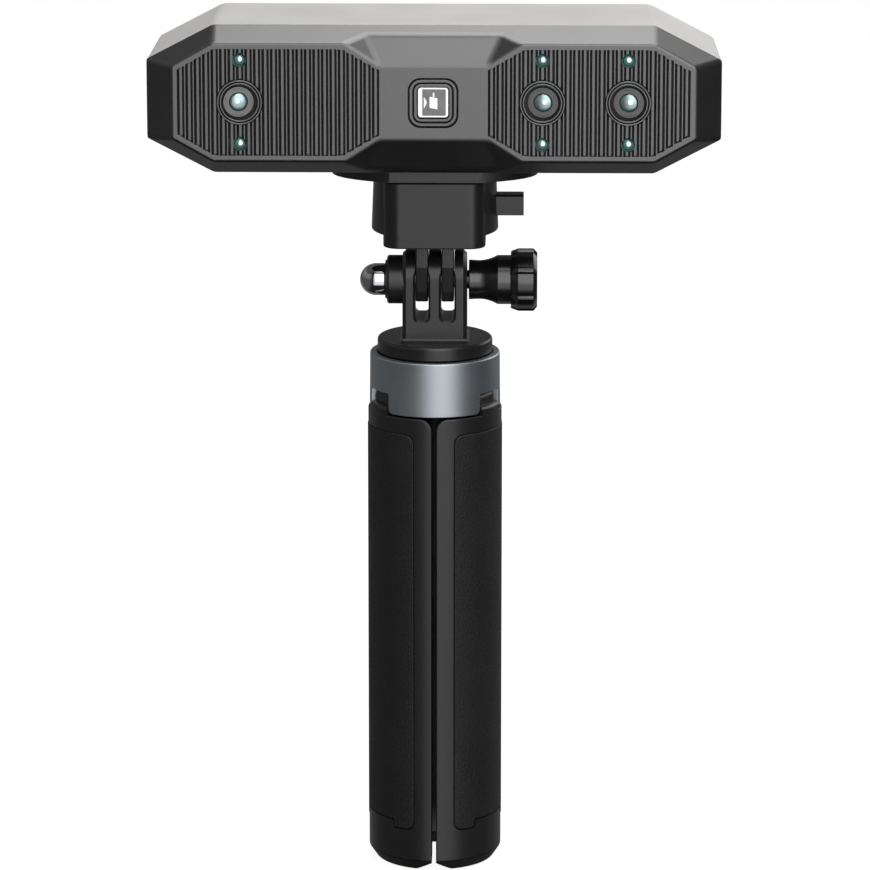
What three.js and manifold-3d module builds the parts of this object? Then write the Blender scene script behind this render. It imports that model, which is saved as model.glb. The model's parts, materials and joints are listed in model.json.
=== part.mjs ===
// A handheld structured-light 3-D scanner on a folding mini-tripod handle.
// Millimetres, +Z up, the scanner's lenses face -Y. The origin is on the floor, on the handle's axis.

import * as THREE from "three";
import { ConvexGeometry } from "three/addons/geometries/ConvexGeometry.js";
import { mergeVertices } from "three/addons/utils/BufferGeometryUtils.js";
import Module from "manifold-3d";

const wasm = await Module();
wasm.setup();

const DEGREE = Math.PI / 180;

// General fits
const FIT = 0.3; // between a piece and the seat that it lies in
const SLIP = 0.15; // round a lens or a rod in its bore
const OVERRUN = 1; // how far a cut runs past the face that it opens
const MERGE_DISTANCE = 1e-4;
const FINE_STEPS = 36; // facets round a large circle
const ROUND_STEPS = 20; // facets round a middling circle
const SMALL_STEPS = 12; // facets round a screw or a lamp

// Handle: three legs that close into one round grip
const LEG_RADIUS = 19.03;
const LEG_CORE_RADIUS = 9; // the hollow between the closed legs
const LEG_SLIT = 1.2; // gap between two closed legs
const LEG_TOP = 133.8;
const LEG_ARC_STEPS = 14;
const LEG_SHOULDER_RADIUS = 18.2;
const LEG_SHOULDER_RISE = 2.2; // above the leg's top, inside the collar's window
const LEG_LIP_RADIUS = 18.4; // inside it the leg's top falls away, so that the leg can swing out
const LEG_LIP_HEIGHT = 0.8;
const LEG_TOP_SLOPE_DROP = 2.4;

// Rubber foot under each leg
const FOOT_HEIGHT = 3.25;
const FOOT_CHAMFER_INSET = 2.2;
const FOOT_SLIT_INSET = 4.2;
const FOOT_SLIT_RISE = 2.4;
const FOOT_PEG_RADIUS = 2.5;
const FOOT_PEG_LENGTH = 5;

// Soft grip pad let into each leg
const GRIP_RADIUS = 19.18;
const GRIP_THICKNESS = 1.2;
const GRIP_HALF_ANGLE = 42.2 * DEGREE;
const GRIP_BOTTOM = 14.8;
const GRIP_TOP = 129.1;
const GRIP_TOP_CORNER = 2.4;
const GRIP_BOTTOM_CORNER = 1.6;
const GRIP_TONGUE_WIDTH = 4.6;
const GRIP_TONGUE_DROP = 2.5;

// Leg hinge
const PIN_RADIUS = 1;
const PIN_HALF_LENGTH = 6.2;
const PIN_FROM_AXIS = 14.2;
const PIN_ABOVE_LEG = 3.7;
const KNUCKLE_RADIUS = 2.9;
const KNUCKLE_HALF_WIDTH = 4.3;
const NECK_DEPTH = 6; // how far the neck runs down into the leg

// Collar ring with three skirts, and the hub inside it
const COLLAR_TOP_RADIUS = 18.45;
const COLLAR_BOTTOM_RADIUS = 18.6;
const COLLAR_INNER_RADIUS = 17;
const COLLAR_EDGE = 0.35;
const SKIRT_GAP = 0.5;
const SKIRT_DROP = 5.7;
const BAND_HEIGHT = 9.8;
const WINDOW_HALF_ANGLE = 15.5 * DEGREE;
const HUB_BOTTOM_RISE = 0.6;
const HUB_SLOT_FLOOR = 10.8; // distance of a slot's floor from the handle's axis
const HUB_SLOT_HEADROOM = 0.8;
const STUD_RADIUS = 3.17;
const STUD_LENGTH = 17;
const STUD_REACH = 7; // how far the stud runs up into the head

// Three-prong tilt head
const DISC_RADIUS = 16.34;
const DISC_HEIGHT = 3.9;
const DISC_EDGE = 0.6;
const PRONG_HALF_WIDTH = 9.08;
const PRONG_RADIUS = 7.5;
const PRONG_EDGE = 0.9;
const PRONG_STEPS = 8;
const PRONG_FOOT_FLARE = 0.7;
const PIVOT_RISE = 16.4;
const SLOT_RISE = 5.4;
const SLOT_WIDTH = 4;
const SLOT_CENTRE = 3.65;
const SLOT_CORNER = 1.2;
const NUT_BOSS_RADIUS = 6.92;
const NUT_BOSS_LENGTH = 4.5;
const NUT_BOSS_EDGE = 0.75;
const WASHER_RADIUS = 5.5;
const WASHER_THICKNESS = 0.5;
const NUT_RADIUS = 4.55;
const NUT_LENGTH = 7.2;
const NUT_STEPS = 5;
const NUT_BORE_DEPTH = 4.4;

// Thumb knob and its screw
const SCREW_RADIUS = 2.4;
const KNOB_GAP = 0.54;
const KNOB_NECK_RADIUS = 5.63;
const KNOB_WAIST_RADIUS = 5.5;
const KNOB_NECK_LENGTH = 8.08;
const KNOB_WAIST_SHARE = 0.35;
const KNOB_FLARE_STEPS = 5;
const KNOB_COLLAR_RADIUS = 6.95;
const KNOB_COLLAR_LENGTH = 4.1;
const KNOB_HEAD_RADIUS = 8.74;
const KNOB_HEAD_LENGTH = 7.2;
const KNOB_RECESS = 0.9;
const KNOB_LOBES = 6;
const KNOB_CREST_HALF_ANGLE = 4.5 * DEGREE;
const KNOB_ROOT_HALF_ANGLE = 9 * DEGREE;
const KNOB_INNER_CHAMFER_LENGTH = 2;
const KNOB_INNER_CHAMFER_DROP = 0.8;
const KNOB_OUTER_CHAMFER = 1.2;
const KNOB_BORE_DEPTH = 16;

// Quick-release adapter with its two tabs
const TAB_RADIUS = 6.1;
const TAB_WIDTH = 3;
const TAB_STEPS = 8;
const BLOCK_RISE = 11.6;
const BLOCK_HEIGHT = 3.2;
const BLOCK_HALF_WIDTH = 14.4;
const BLOCK_CORNER = 4.7;
const BLOCK_CORNER_STEPS = 5;
const ADAPTER_HEIGHT = 15.6;
const ADAPTER_BOTTOM_RADIUS = 17.95;
const ADAPTER_TOP_RADIUS = 17.35;
const ADAPTER_FLAT = 14.3;
const ADAPTER_ROUND_FROM = -36 * DEGREE; // where its round back begins

// Release button, which runs across the adapter and hooks the plate on its far side
const BUTTON_HEIGHT = 5.9;
const BUTTON_DEPTH = 6;
const BUTTON_REACH = 25.1;
const BUTTON_BEVEL = 0.6;
const BUTTON_RISE = 4.3; // above the adapter's lower rim
const BUTTON_TRAVEL = 2.5;
const HOOK_STEM_THICKNESS = 1.3;
const HOOK_NOSE = 1.4;
const HOOK_NOSE_HEIGHT = 1.2;
const HOOK_HALF_WIDTH = 2;
const HOOK_LIP = 0.7; // lip of the tenon that the hook holds
const SPRING_RADIUS = 2;
const SPRING_WALL = 0.6;
const SPRING_LENGTH = 3.9;

// Plate under the scanner
const PLATE_HALF_WIDTH = 29.07;
const PLATE_HALF_DEPTH = 16.9;
const PLATE_FLAT = 15.2;
const PLATE_THICKNESS = 3.15;
const PLATE_GAP = 0.4; // between the plate and the adapter, outside the plate's foot
const PLATE_FOOT_RADIUS = 13;
const TENON_RADIUS = 9;
const TENON_LENGTH = 4;
const MOUNT_SCREW_RADIUS = 3;
const MOUNT_SCREW_HEAD_RADIUS = 5.6;
const MOUNT_SCREW_HEAD_HEIGHT = 2.2;
const MOUNT_SCREW_REACH = 5.5; // how far the screw runs up into the scanner
const INSERT_RADIUS = 5.6;
const INSERT_HEIGHT = 6;

// Scanner housing
const SCANNER_WIDTH = 160;
const SCANNER_HEIGHT = 41.8;
const SCANNER_DEPTH = 46.2;
const BEVEL_DEPTH = 6.4;
const RIM_CORNER_WIDTH = 18.6;
const RIM_CORNER_HEIGHT = 9.7;
const FACE_SIDE_INSET = 7.25;
const FACE_EDGE_INSET = 4.27;
const FACE_CORNER_WIDTH = 11.4;
const FACE_CORNER_HEIGHT = 6.4;
const SHELL_SIDE_DRAFT = 1;
const SHELL_EDGE_DRAFT = 0.35;
const SHELL_WALL = 2;
const LIP_LENGTH = 2;
const LIP_THICKNESS = 1.2;
const FRONT_WALL = 2.2;
const POCKET_SIDE_WALL = 12;
const POCKET_HALF_WIDTH = SCANNER_WIDTH / 2 - POCKET_SIDE_WALL;
const POCKET_HALF_HEIGHT = 14.3;
const BRIDGE_POCKET_HALF_HEIGHT = 12;

// Facets above and below the centre of the face
const BRIDGE_HALF_HEIGHT = 10.4;
const BRIDGE_HALF_WIDTH = 14.95;
const FACET_OUTER_HALF_WIDTH = 24.6;
const FACET_INNER_HALF_WIDTH = 18.95;
const UPPER_FACET_REACH_SHARE = 0.47; // of the bevel, from the face to the rim
const LOWER_FACET_REACH_SHARE = 0.66;

// Ribbed panels either side of the centre
const RIB_INNER = 14.8;
const RIB_SIDE_MARGIN = 8.6; // from the panel's outer end to the scanner's side
const RIB_OUTER = SCANNER_WIDTH / 2 - RIB_SIDE_MARGIN;
const RIB_HALF_HEIGHT = 15.1;
const RIB_CORNER_WIDTH = 10.3;
const RIB_CORNER_HEIGHT = 6;
const RIB_PITCH = 2.35;
const RIB_GROOVE_WIDTH = 1.35;
const RIB_GROOVE_DEPTH = 1.2;

// Cameras and their lamps
const LEFT_CAMERA_FROM_SIDE = 26.17;
const RIGHT_CAMERA_FROM_SIDE = 26.03;
const CAMERA_PAIR_SPACING = 23.8; // from the middle camera to the right one
const CAMERA_PLACES = {
  left: LEFT_CAMERA_FROM_SIDE - SCANNER_WIDTH / 2,
  middle: SCANNER_WIDTH / 2 - RIGHT_CAMERA_FROM_SIDE - CAMERA_PAIR_SPACING,
  right: SCANNER_WIDTH / 2 - RIGHT_CAMERA_FROM_SIDE,
};
const CAMERA_RECESS_RADIUS = 6.4;
const CAMERA_RECESS_DEPTH = 0.6;
const CAMERA_STEP_RADIUS = 5.7;
const CAMERA_STEP_DEPTH = 1.2;
const CAMERA_BORE_RADIUS = 5.1;
const HOLDER_RADIUS = 4.5;
const HOLDER_SINK = 1.1; // of its front face behind the scanner's face
const HOLDER_THICKNESS = 1.5;
const HOLDER_NOTCH_WIDTH = 2.2;
const HOLDER_NOTCH_DEPTH = 0.5;
const LENS_RADIUS = 2.5;
const LENS_PROUD = 0.8;
const LENS_DOME_STEPS = 4;
const LENS_TAIL = 1;
const BARREL_RADIUS = 4.7;
const BARREL_BORE_RADIUS = 3;
const LAMP_OFFSET = 11.8;
const LAMP_RECESS_RADIUS = 2;
const LAMP_RECESS_DEPTH = 1.3;
const LAMP_RADIUS = 1.4;
const LAMP_SINK = 0.4;
const LAMP_DOME_STEPS = 3;
const LAMP_FLANGE_RADIUS = 2;
const LAMP_FLANGE_THICKNESS = 0.6;

// Projector window
const PROJECTOR_RECESS_SIDE = 14.2;
const PROJECTOR_RECESS_DEPTH = 0.8;
const PROJECTOR_CORNER = 3.6;
const PROJECTOR_HOLE_SIDE = 11.8;
const BEZEL_SINK = 0.25;
const BEZEL_STEP_SIDE = 11.4;
const BEZEL_STEP_DEPTH = 0.5;
const BEZEL_OPENING_SIDE = 9;
const WINDOW_SIDE = 8.4;
const WINDOW_CORNER = 0.8;
const WINDOW_THICKNESS = 1.2;
const SQUARE_CORNER_STEPS = 4;
const PROJECTOR_MODULE_SIDE = 10.8;
const PROJECTOR_MODULE_LENGTH = 17;
const PROJECTOR_FLANGE_SIDE = 14.6;
const PROJECTOR_FLANGE_THICKNESS = 1.4;

// Inner frame, board and cooling
const FRAME_FRONT_GAP = 5.4; // from the face's inner wall to the frame
const FRAME_THICKNESS = 2;
const FRAME_HALF_HEIGHT = 12.6;
const POST_FROM_SIDE = 18;
const POST_X = SCANNER_WIDTH / 2 - POST_FROM_SIDE;
const FRAME_PAST_POST = 5;
const FRAME_HALF_WIDTH = POST_X + FRAME_PAST_POST;
const POST_Z = 9.6;
const POST_RADIUS = 2.6;
const BOARD_TO_POST = 5;
const BOARD_HALF_WIDTH = POST_X - BOARD_TO_POST;
const BOARD_HALF_HEIGHT = 15;
const BOARD_THICKNESS = 1.6;
const BOARD_BACK_GAP = 5.9;
const STANDOFF_RADIUS = 2.2;
const STANDOFF_FROM_BOARD_END = 5;
const STANDOFF_X = BOARD_HALF_WIDTH - STANDOFF_FROM_BOARD_END;
const STANDOFF_Z = 11;
const HEAT_SINK_HALF_WIDTH = 24;
const HEAT_SINK_HALF_HEIGHT = 11;
const HEAT_SINK_BASE = 2;
const HEAT_SINK_HEIGHT = 9;
const FIN_COUNT = 9;
const FIN_THICKNESS = 1.4;

// Rear face: button, socket and screws
const SCAN_BUTTON_X = 0;
const SCAN_BUTTON_RISE = 6;
const SCAN_BUTTON_RADIUS = 5.5;
const SCAN_BUTTON_SINK = 0.2;
const SCAN_BUTTON_FLANGE = 1.2;
const SCAN_BUTTON_FLANGE_THICKNESS = 1;
const SCAN_BUTTON_STEM_RADIUS = 1.5;
const SCAN_BUTTON_TRAVEL = 0.8;
const SWITCH_SIDE = 6;
const SWITCH_HEIGHT = 1.8;
const SOCKET_DROP = 9; // of the cable socket below the scanner's middle
const SOCKET_WIDTH = 9;
const SOCKET_HEIGHT = 4;
const SOCKET_SINK = 0.6;
const SOCKET_SHELL = 0.6;
const SOCKET_DEPTH = 4.6;
const HOUSING_SCREW_RADIUS = 1.3;
const HOUSING_SCREW_HEAD_RADIUS = 2.4;
const HOUSING_SCREW_HEAD_HEIGHT = 1.2;
const HOUSING_SCREW_SINK = 0.2;
const HOUSING_SCREW_LENGTH = 8;
const HOUSING_SCREW_SLOT = 0.7;

// Heights of the stack, from the floor up
const PIN_Z = LEG_TOP + PIN_ABOVE_LEG;
const SKIRT_BOTTOM = LEG_TOP + SKIRT_GAP;
const WINDOW_TOP = SKIRT_BOTTOM + SKIRT_DROP;
const COLLAR_TOP = WINDOW_TOP + BAND_HEIGHT;
const DISC_BOTTOM = COLLAR_TOP + FIT;
const DISC_TOP = DISC_BOTTOM + DISC_HEIGHT;
const SLOT_FLOOR = DISC_TOP + SLOT_RISE;
const PIVOT_Z = DISC_TOP + PIVOT_RISE;
const BLOCK_BOTTOM = PIVOT_Z + BLOCK_RISE;
const ADAPTER_BOTTOM = BLOCK_BOTTOM + BLOCK_HEIGHT;
const ADAPTER_TOP = ADAPTER_BOTTOM + ADAPTER_HEIGHT;
const PLATE_BOTTOM = ADAPTER_TOP + PLATE_GAP;
const SCANNER_BOTTOM = PLATE_BOTTOM + PLATE_THICKNESS;
const SCANNER_MIDDLE = SCANNER_BOTTOM + SCANNER_HEIGHT / 2;

// Depths of the scanner, from its face back
const FACE_Y = -SCANNER_DEPTH / 2;
const RIM_Y = FACE_Y + BEVEL_DEPTH;
const BACK_Y = SCANNER_DEPTH / 2;
const FRONT_WALL_Y = FACE_Y + FRONT_WALL;
const BACK_WALL_Y = BACK_Y - SHELL_WALL;
const FRAME_FRONT = FRONT_WALL_Y + FRAME_FRONT_GAP;
const FRAME_BACK = FRAME_FRONT + FRAME_THICKNESS;
const BOARD_BACK = BACK_WALL_Y - BOARD_BACK_GAP;
const BOARD_FRONT = BOARD_BACK - BOARD_THICKNESS;

// Places along the tilt axle
const BOSS_FACE = -PRONG_HALF_WIDTH - NUT_BOSS_LENGTH;
const NUT_FACE = BOSS_FACE - WASHER_THICKNESS;
const KNOB_FACE = PRONG_HALF_WIDTH + KNOB_GAP;
const KNOB_COLLAR_FACE = KNOB_FACE + KNOB_NECK_LENGTH;
const KNOB_HEAD_FACE = KNOB_COLLAR_FACE + KNOB_COLLAR_LENGTH;
const KNOB_END = KNOB_HEAD_FACE + KNOB_HEAD_LENGTH;

// Finishes
const finish = (color, roughness, metalness) =>
  new THREE.MeshStandardMaterial({ color, roughness, metalness });
const SILVER_SHELL = finish("#c9c7c5", 0.42, 0.3);
const DARK_HOUSING = finish("#3c3e40", 0.5, 0.1);
const BLACK_PLASTIC = finish("#1f2021", 0.45, 0);
const GRIP_RUBBER = finish("#232425", 0.85, 0);
const COLLAR_METAL = finish("#62696e", 0.35, 0.9);
const CHROME = finish("#d5d5d5", 0.08, 1);
const STEEL = finish("#8d9194", 0.35, 1);
const ALUMINIUM = finish("#a7abae", 0.45, 0.9);
const LENS_GLASS = finish("#9fc4bf", 0.05, 0);
const LAMP_RESIN = finish("#3f6b68", 0.1, 0);
const CIRCUIT_GREEN = finish("#1f5a36", 0.55, 0);

/** The closed solid of a geometry, whichever way round its faces run. */
function solidOf(geometry) {
  const bare = new THREE.BufferGeometry();
  bare.setAttribute("position", geometry.getAttribute("position"));
  bare.setIndex(geometry.index);
  const merged = mergeVertices(bare, MERGE_DISTANCE);
  const corners = merged.index.array;
  const kept = [];
  for (let i = 0; i < corners.length; i += 3) {
    const [a, b, c] = corners.subarray(i, i + 3);
    if (a !== b && b !== c && c !== a) kept.push(a, b, c);
  }
  const vertProperties = merged.getAttribute("position").array;
  const build = (triangles) =>
    new wasm.Manifold(
      new wasm.Mesh({ numProp: 3, vertProperties, triVerts: new Uint32Array(triangles) }),
    );
  const made = build(kept);
  return made.volume() < 0 ? build(kept.reverse()) : made;
}

/** The geometry of a solid, ready for a mesh. */
function geometryOf(solid) {
  const mesh = solid.getMesh();
  const geometry = new THREE.BufferGeometry();
  geometry.setAttribute("position", new THREE.BufferAttribute(mesh.vertProperties, mesh.numProp));
  geometry.setIndex(new THREE.BufferAttribute(mesh.triVerts, 1));
  geometry.computeVertexNormals();
  return geometry;
}

const joined = (first, ...others) => others.reduce((all, next) => all.add(next), first);
const cutBy = (first, ...others) => others.reduce((left, next) => left.subtract(next), first);
const common = (first, ...others) => others.reduce((left, next) => left.intersect(next), first);

/** An outline from its corner points. */
const outline = (points) => new THREE.Shape(points.map(([x, y]) => new THREE.Vector2(x, y)));

/** Points of an arc about a centre, both ends included. */
function arc(x, y, radius, from, to, steps) {
  return Array.from({ length: steps + 1 }, (_, i) => {
    const angle = from + ((to - from) * i) / steps;
    return [x + radius * Math.cos(angle), y + radius * Math.sin(angle)];
  });
}

/** The outline of a circle. */
const circle = (radius, x = 0, y = 0, steps = ROUND_STEPS) =>
  outline(arc(x, y, radius, 0, 2 * Math.PI, steps).slice(1));

/** The outline of a rectangle with equal round corners. */
function roundedRectangle(halfWidth, halfHeight, corner, steps, x = 0, y = 0) {
  const quarter = Math.PI / 2;
  const places = [
    [1, 1],
    [-1, 1],
    [-1, -1],
    [1, -1],
  ];
  return outline(
    places.flatMap(([sideX, sideY], i) =>
      arc(
        x + sideX * (halfWidth - corner),
        y + sideY * (halfHeight - corner),
        corner,
        i * quarter,
        (i + 1) * quarter,
        steps,
      ),
    ),
  );
}

/** Turns a geometry drawn along +Z so that it runs along the named axis. */
function along(geometry, axis) {
  const bases = {
    x: [new THREE.Vector3(0, 1, 0), new THREE.Vector3(0, 0, 1), new THREE.Vector3(1, 0, 0)],
    y: [new THREE.Vector3(1, 0, 0), new THREE.Vector3(0, 0, 1), new THREE.Vector3(0, 1, 0)],
    z: [new THREE.Vector3(1, 0, 0), new THREE.Vector3(0, 1, 0), new THREE.Vector3(0, 0, 1)],
  };
  return geometry.applyMatrix4(new THREE.Matrix4().makeBasis(...bases[axis]));
}

/** A prism: the outline, in the plane across the axis, carried from one place to another. */
function prism(shape, axis, from, to) {
  const geometry = new THREE.ExtrudeGeometry(shape, { depth: to - from, bevelEnabled: false });
  geometry.translate(0, 0, from);
  return solidOf(along(geometry, axis));
}

/** A round rod along an axis, with its centre at (a, b) in the plane across it. */
const rod = (radius, axis, from, to, a = 0, b = 0, steps = SMALL_STEPS) =>
  prism(circle(radius, a, b, steps), axis, from, to);

/** A block between two corners. */
function block(x0, x1, y0, y1, z0, z1) {
  const geometry = new THREE.BoxGeometry(x1 - x0, y1 - y0, z1 - z0);
  geometry.translate((x0 + x1) / 2, (y0 + y1) / 2, (z0 + z1) / 2);
  return solidOf(geometry);
}

/** A solid turned from a profile of [radius, place] points about an axis through (a, b). */
function turned(profile, axis, a = 0, b = 0, steps = ROUND_STEPS) {
  const points = profile.map(([radius, place]) => new THREE.Vector2(radius, place));
  const geometry = new THREE.LatheGeometry(points, steps);
  geometry.rotateX(Math.PI / 2);
  geometry.translate(a, b, 0);
  return solidOf(along(geometry, axis));
}

/** A frustum along Y between two outlines with as many corners each. */
function lofted(frontPoints, frontY, backPoints, backY) {
  const geometry = new THREE.ExtrudeGeometry(outline(frontPoints), {
    depth: backY - frontY,
    bevelEnabled: false,
  });
  const position = geometry.getAttribute("position");
  for (let i = 0; i < position.count; i++) {
    if (position.getZ(i) < (backY - frontY) / 2) continue;
    const corner = frontPoints.findIndex(
      ([x, z]) => Math.hypot(position.getX(i) - x, position.getY(i) - z) < MERGE_DISTANCE,
    );
    position.setXY(i, ...backPoints[corner]);
  }
  geometry.translate(0, 0, frontY);
  return solidOf(along(geometry, "y"));
}

/** Corner points of an octagon with cut corners, about the scanner's middle. */
function octagon(halfWidth, halfHeight, cornerWidth, cornerHeight, x = 0) {
  const right = halfWidth;
  const top = halfHeight;
  const insideX = right - cornerWidth;
  const insideZ = top - cornerHeight;
  return [
    [x + right, insideZ],
    [x + insideX, top],
    [x - insideX, top],
    [x - right, insideZ],
    [x - right, -insideZ],
    [x - insideX, -top],
    [x + insideX, -top],
    [x + right, -insideZ],
  ].map(([px, pz]) => [px, SCANNER_MIDDLE + pz]);
}

const root = new THREE.Group();

/** Adds a solid to a group as a named mesh. */
function addPiece(group, name, solid, material) {
  const mesh = new THREE.Mesh(geometryOf(solid), material);
  mesh.name = name;
  group.add(mesh);
  return mesh;
}

// Legs, grips, feet and hinge pins, drawn with the leg's outward direction along +X

/** The section of one closed leg between two radii, with flat sides along the slits. */
function legSection(inner, outer) {
  const third = Math.PI / 3;
  const edgeAngle = (radius) => third - Math.asin(LEG_SLIT / 2 / radius);
  return outline([
    ...arc(0, 0, outer, -edgeAngle(outer), edgeAngle(outer), LEG_ARC_STEPS),
    ...arc(0, 0, inner, edgeAngle(inner), -edgeAngle(inner), LEG_ARC_STEPS / 2),
  ]);
}

/** The outline of a grip pad seen from outside: a tall plate with a tongue at each lower corner. */
function gripOutline(growth) {
  const half = GRIP_RADIUS * Math.sin(GRIP_HALF_ANGLE) + growth;
  const bottom = GRIP_BOTTOM - growth;
  const top = GRIP_TOP + growth;
  const tongue = bottom - GRIP_TONGUE_DROP;
  const inner = half - GRIP_TONGUE_WIDTH - 2 * growth;
  return outline([
    [-half + GRIP_BOTTOM_CORNER, tongue],
    [-inner, tongue],
    [-inner, bottom],
    [inner, bottom],
    [inner, tongue],
    [half - GRIP_BOTTOM_CORNER, tongue],
    [half, tongue + GRIP_BOTTOM_CORNER],
    [half, top - GRIP_TOP_CORNER],
    [half - GRIP_TOP_CORNER, top],
    [-half + GRIP_TOP_CORNER, top],
    [-half, top - GRIP_TOP_CORNER],
    [-half, tongue + GRIP_BOTTOM_CORNER],
  ]);
}

/** A grip pad, or with growth the recess that holds it. */
function gripPad(growth) {
  const inner = GRIP_RADIUS - GRIP_THICKNESS - growth;
  const band = cutBy(
    rod(GRIP_RADIUS + growth, "z", 0, LEG_TOP, 0, 0, FINE_STEPS),
    rod(inner, "z", -OVERRUN, LEG_TOP + OVERRUN, 0, 0, FINE_STEPS),
  );
  return common(band, prism(gripOutline(growth), "x", 0, GRIP_RADIUS + OVERRUN));
}

/** The cut that lets the leg's top swing past the collar's skirts: a shallow cone. */
function legTopRelief() {
  const lip = LEG_TOP - LEG_LIP_HEIGHT;
  return turned(
    [
      [0, lip - LEG_TOP_SLOPE_DROP],
      [LEG_CORE_RADIUS, lip - LEG_TOP_SLOPE_DROP],
      [LEG_LIP_RADIUS, lip],
      [LEG_LIP_RADIUS, LEG_TOP + OVERRUN],
      [0, LEG_TOP + OVERRUN],
    ],
    "z",
    0,
    0,
    FINE_STEPS,
  );
}

/** The neck and knuckle that carry the leg on its pin, with the shoulder in the collar's window. */
function legNeck() {
  const foot = LEG_TOP - NECK_DEPTH;
  const side = outline([
    [PIN_FROM_AXIS - KNUCKLE_RADIUS, foot],
    [PIN_FROM_AXIS + KNUCKLE_RADIUS, foot],
    ...arc(PIN_FROM_AXIS, PIN_Z, KNUCKLE_RADIUS, 0, Math.PI, SMALL_STEPS / 2),
  ]);
  const neck = prism(side, "y", -KNUCKLE_HALF_WIDTH, KNUCKLE_HALF_WIDTH);
  const shoulder = common(
    rod(LEG_SHOULDER_RADIUS, "z", foot, LEG_TOP + LEG_SHOULDER_RISE, 0, 0, FINE_STEPS),
    block(
      PIN_FROM_AXIS,
      LEG_RADIUS,
      -KNUCKLE_HALF_WIDTH,
      KNUCKLE_HALF_WIDTH,
      foot,
      LEG_TOP + LEG_SHOULDER_RISE,
    ),
  );
  return joined(neck, shoulder);
}

function legShell() {
  const body = prism(legSection(LEG_CORE_RADIUS, LEG_RADIUS), "z", FOOT_HEIGHT, LEG_TOP);
  const pegHole = rod(
    FOOT_PEG_RADIUS + FIT,
    "z",
    FOOT_HEIGHT - OVERRUN,
    FOOT_HEIGHT + FOOT_PEG_LENGTH + FIT,
    (LEG_CORE_RADIUS + LEG_RADIUS) / 2,
  );
  const pinHole = rod(PIN_RADIUS + FIT, "y", -LEG_RADIUS, LEG_RADIUS, PIN_FROM_AXIS, PIN_Z);
  return cutBy(joined(cutBy(body, legTopRelief()), legNeck()), gripPad(FIT), pegHole, pinHole);
}

/** The rubber foot: a wedge of the leg's section, bevelled outside and along the slits. */
function foot() {
  const cone = turned(
    [
      [0, 0],
      [LEG_RADIUS - FOOT_CHAMFER_INSET, 0],
      [LEG_RADIUS, FOOT_HEIGHT],
      [0, FOOT_HEIGHT],
    ],
    "z",
    0,
    0,
    FINE_STEPS,
  );
  const wedge = common(prism(legSection(LEG_CORE_RADIUS, LEG_RADIUS), "z", 0, FOOT_HEIGHT), cone);
  const slitBevel = outline([
    [LEG_SLIT / 2 - OVERRUN, FOOT_SLIT_RISE * (1 + OVERRUN / FOOT_SLIT_INSET)],
    [LEG_SLIT / 2 - OVERRUN, -OVERRUN],
    [LEG_SLIT / 2 + FOOT_SLIT_INSET * (1 + OVERRUN / FOOT_SLIT_RISE), -OVERRUN],
  ]);
  const bevel = prism(slitBevel, "x", 0, LEG_RADIUS + OVERRUN);
  const turnedBevel = (side) =>
    bevel.scale([1, side, 1]).rotate([0, 0, (-side * Math.PI) / 3 / DEGREE]);
  const peg = rod(
    FOOT_PEG_RADIUS,
    "z",
    FOOT_HEIGHT / 2,
    FOOT_HEIGHT + FOOT_PEG_LENGTH,
    (LEG_CORE_RADIUS + LEG_RADIUS) / 2,
  );
  return joined(cutBy(wedge, turnedBevel(1), turnedBevel(-1)), peg);
}

const LEG_ANGLES = { rear: 90 * DEGREE, left: 210 * DEGREE, right: 330 * DEGREE };

function addLegs() {
  for (const [place, angle] of Object.entries(LEG_ANGLES)) {
    const group = new THREE.Group();
    group.rotation.z = angle;
    root.add(group);
    addPiece(group, `leg_${place}`, legShell(), BLACK_PLASTIC);
    addPiece(group, `grip_${place}`, gripPad(0), GRIP_RUBBER);
    addPiece(group, `foot_${place}`, foot(), GRIP_RUBBER);
    const pin = rod(PIN_RADIUS, "y", -PIN_HALF_LENGTH, PIN_HALF_LENGTH, PIN_FROM_AXIS, PIN_Z);
    addPiece(group, `hinge_pin_${place}`, pin, STEEL);
  }
}

// Collar, hub and stud

/** A solid drawn at the first leg's place, copied to all three legs and joined. */
function atEachLeg(solid) {
  const [first, ...others] = Object.values(LEG_ANGLES).map((angle) =>
    solid.rotate([0, 0, angle / DEGREE]),
  );
  return joined(first, ...others);
}

function collarRing() {
  const ring = turned(
    [
      [COLLAR_INNER_RADIUS, SKIRT_BOTTOM],
      [COLLAR_BOTTOM_RADIUS, SKIRT_BOTTOM],
      [COLLAR_TOP_RADIUS, COLLAR_TOP - COLLAR_EDGE],
      [COLLAR_TOP_RADIUS - COLLAR_EDGE, COLLAR_TOP],
      [COLLAR_INNER_RADIUS, COLLAR_TOP],
      [COLLAR_INNER_RADIUS, SKIRT_BOTTOM],
    ],
    "z",
    0,
    0,
    FINE_STEPS,
  );
  const reach = COLLAR_BOTTOM_RADIUS + OVERRUN;
  const wedge = outline([
    [0, 0],
    [reach, -reach * Math.tan(WINDOW_HALF_ANGLE)],
    [reach, reach * Math.tan(WINDOW_HALF_ANGLE)],
  ]);
  return cutBy(ring, atEachLeg(prism(wedge, "z", SKIRT_BOTTOM - OVERRUN, WINDOW_TOP)));
}

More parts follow.
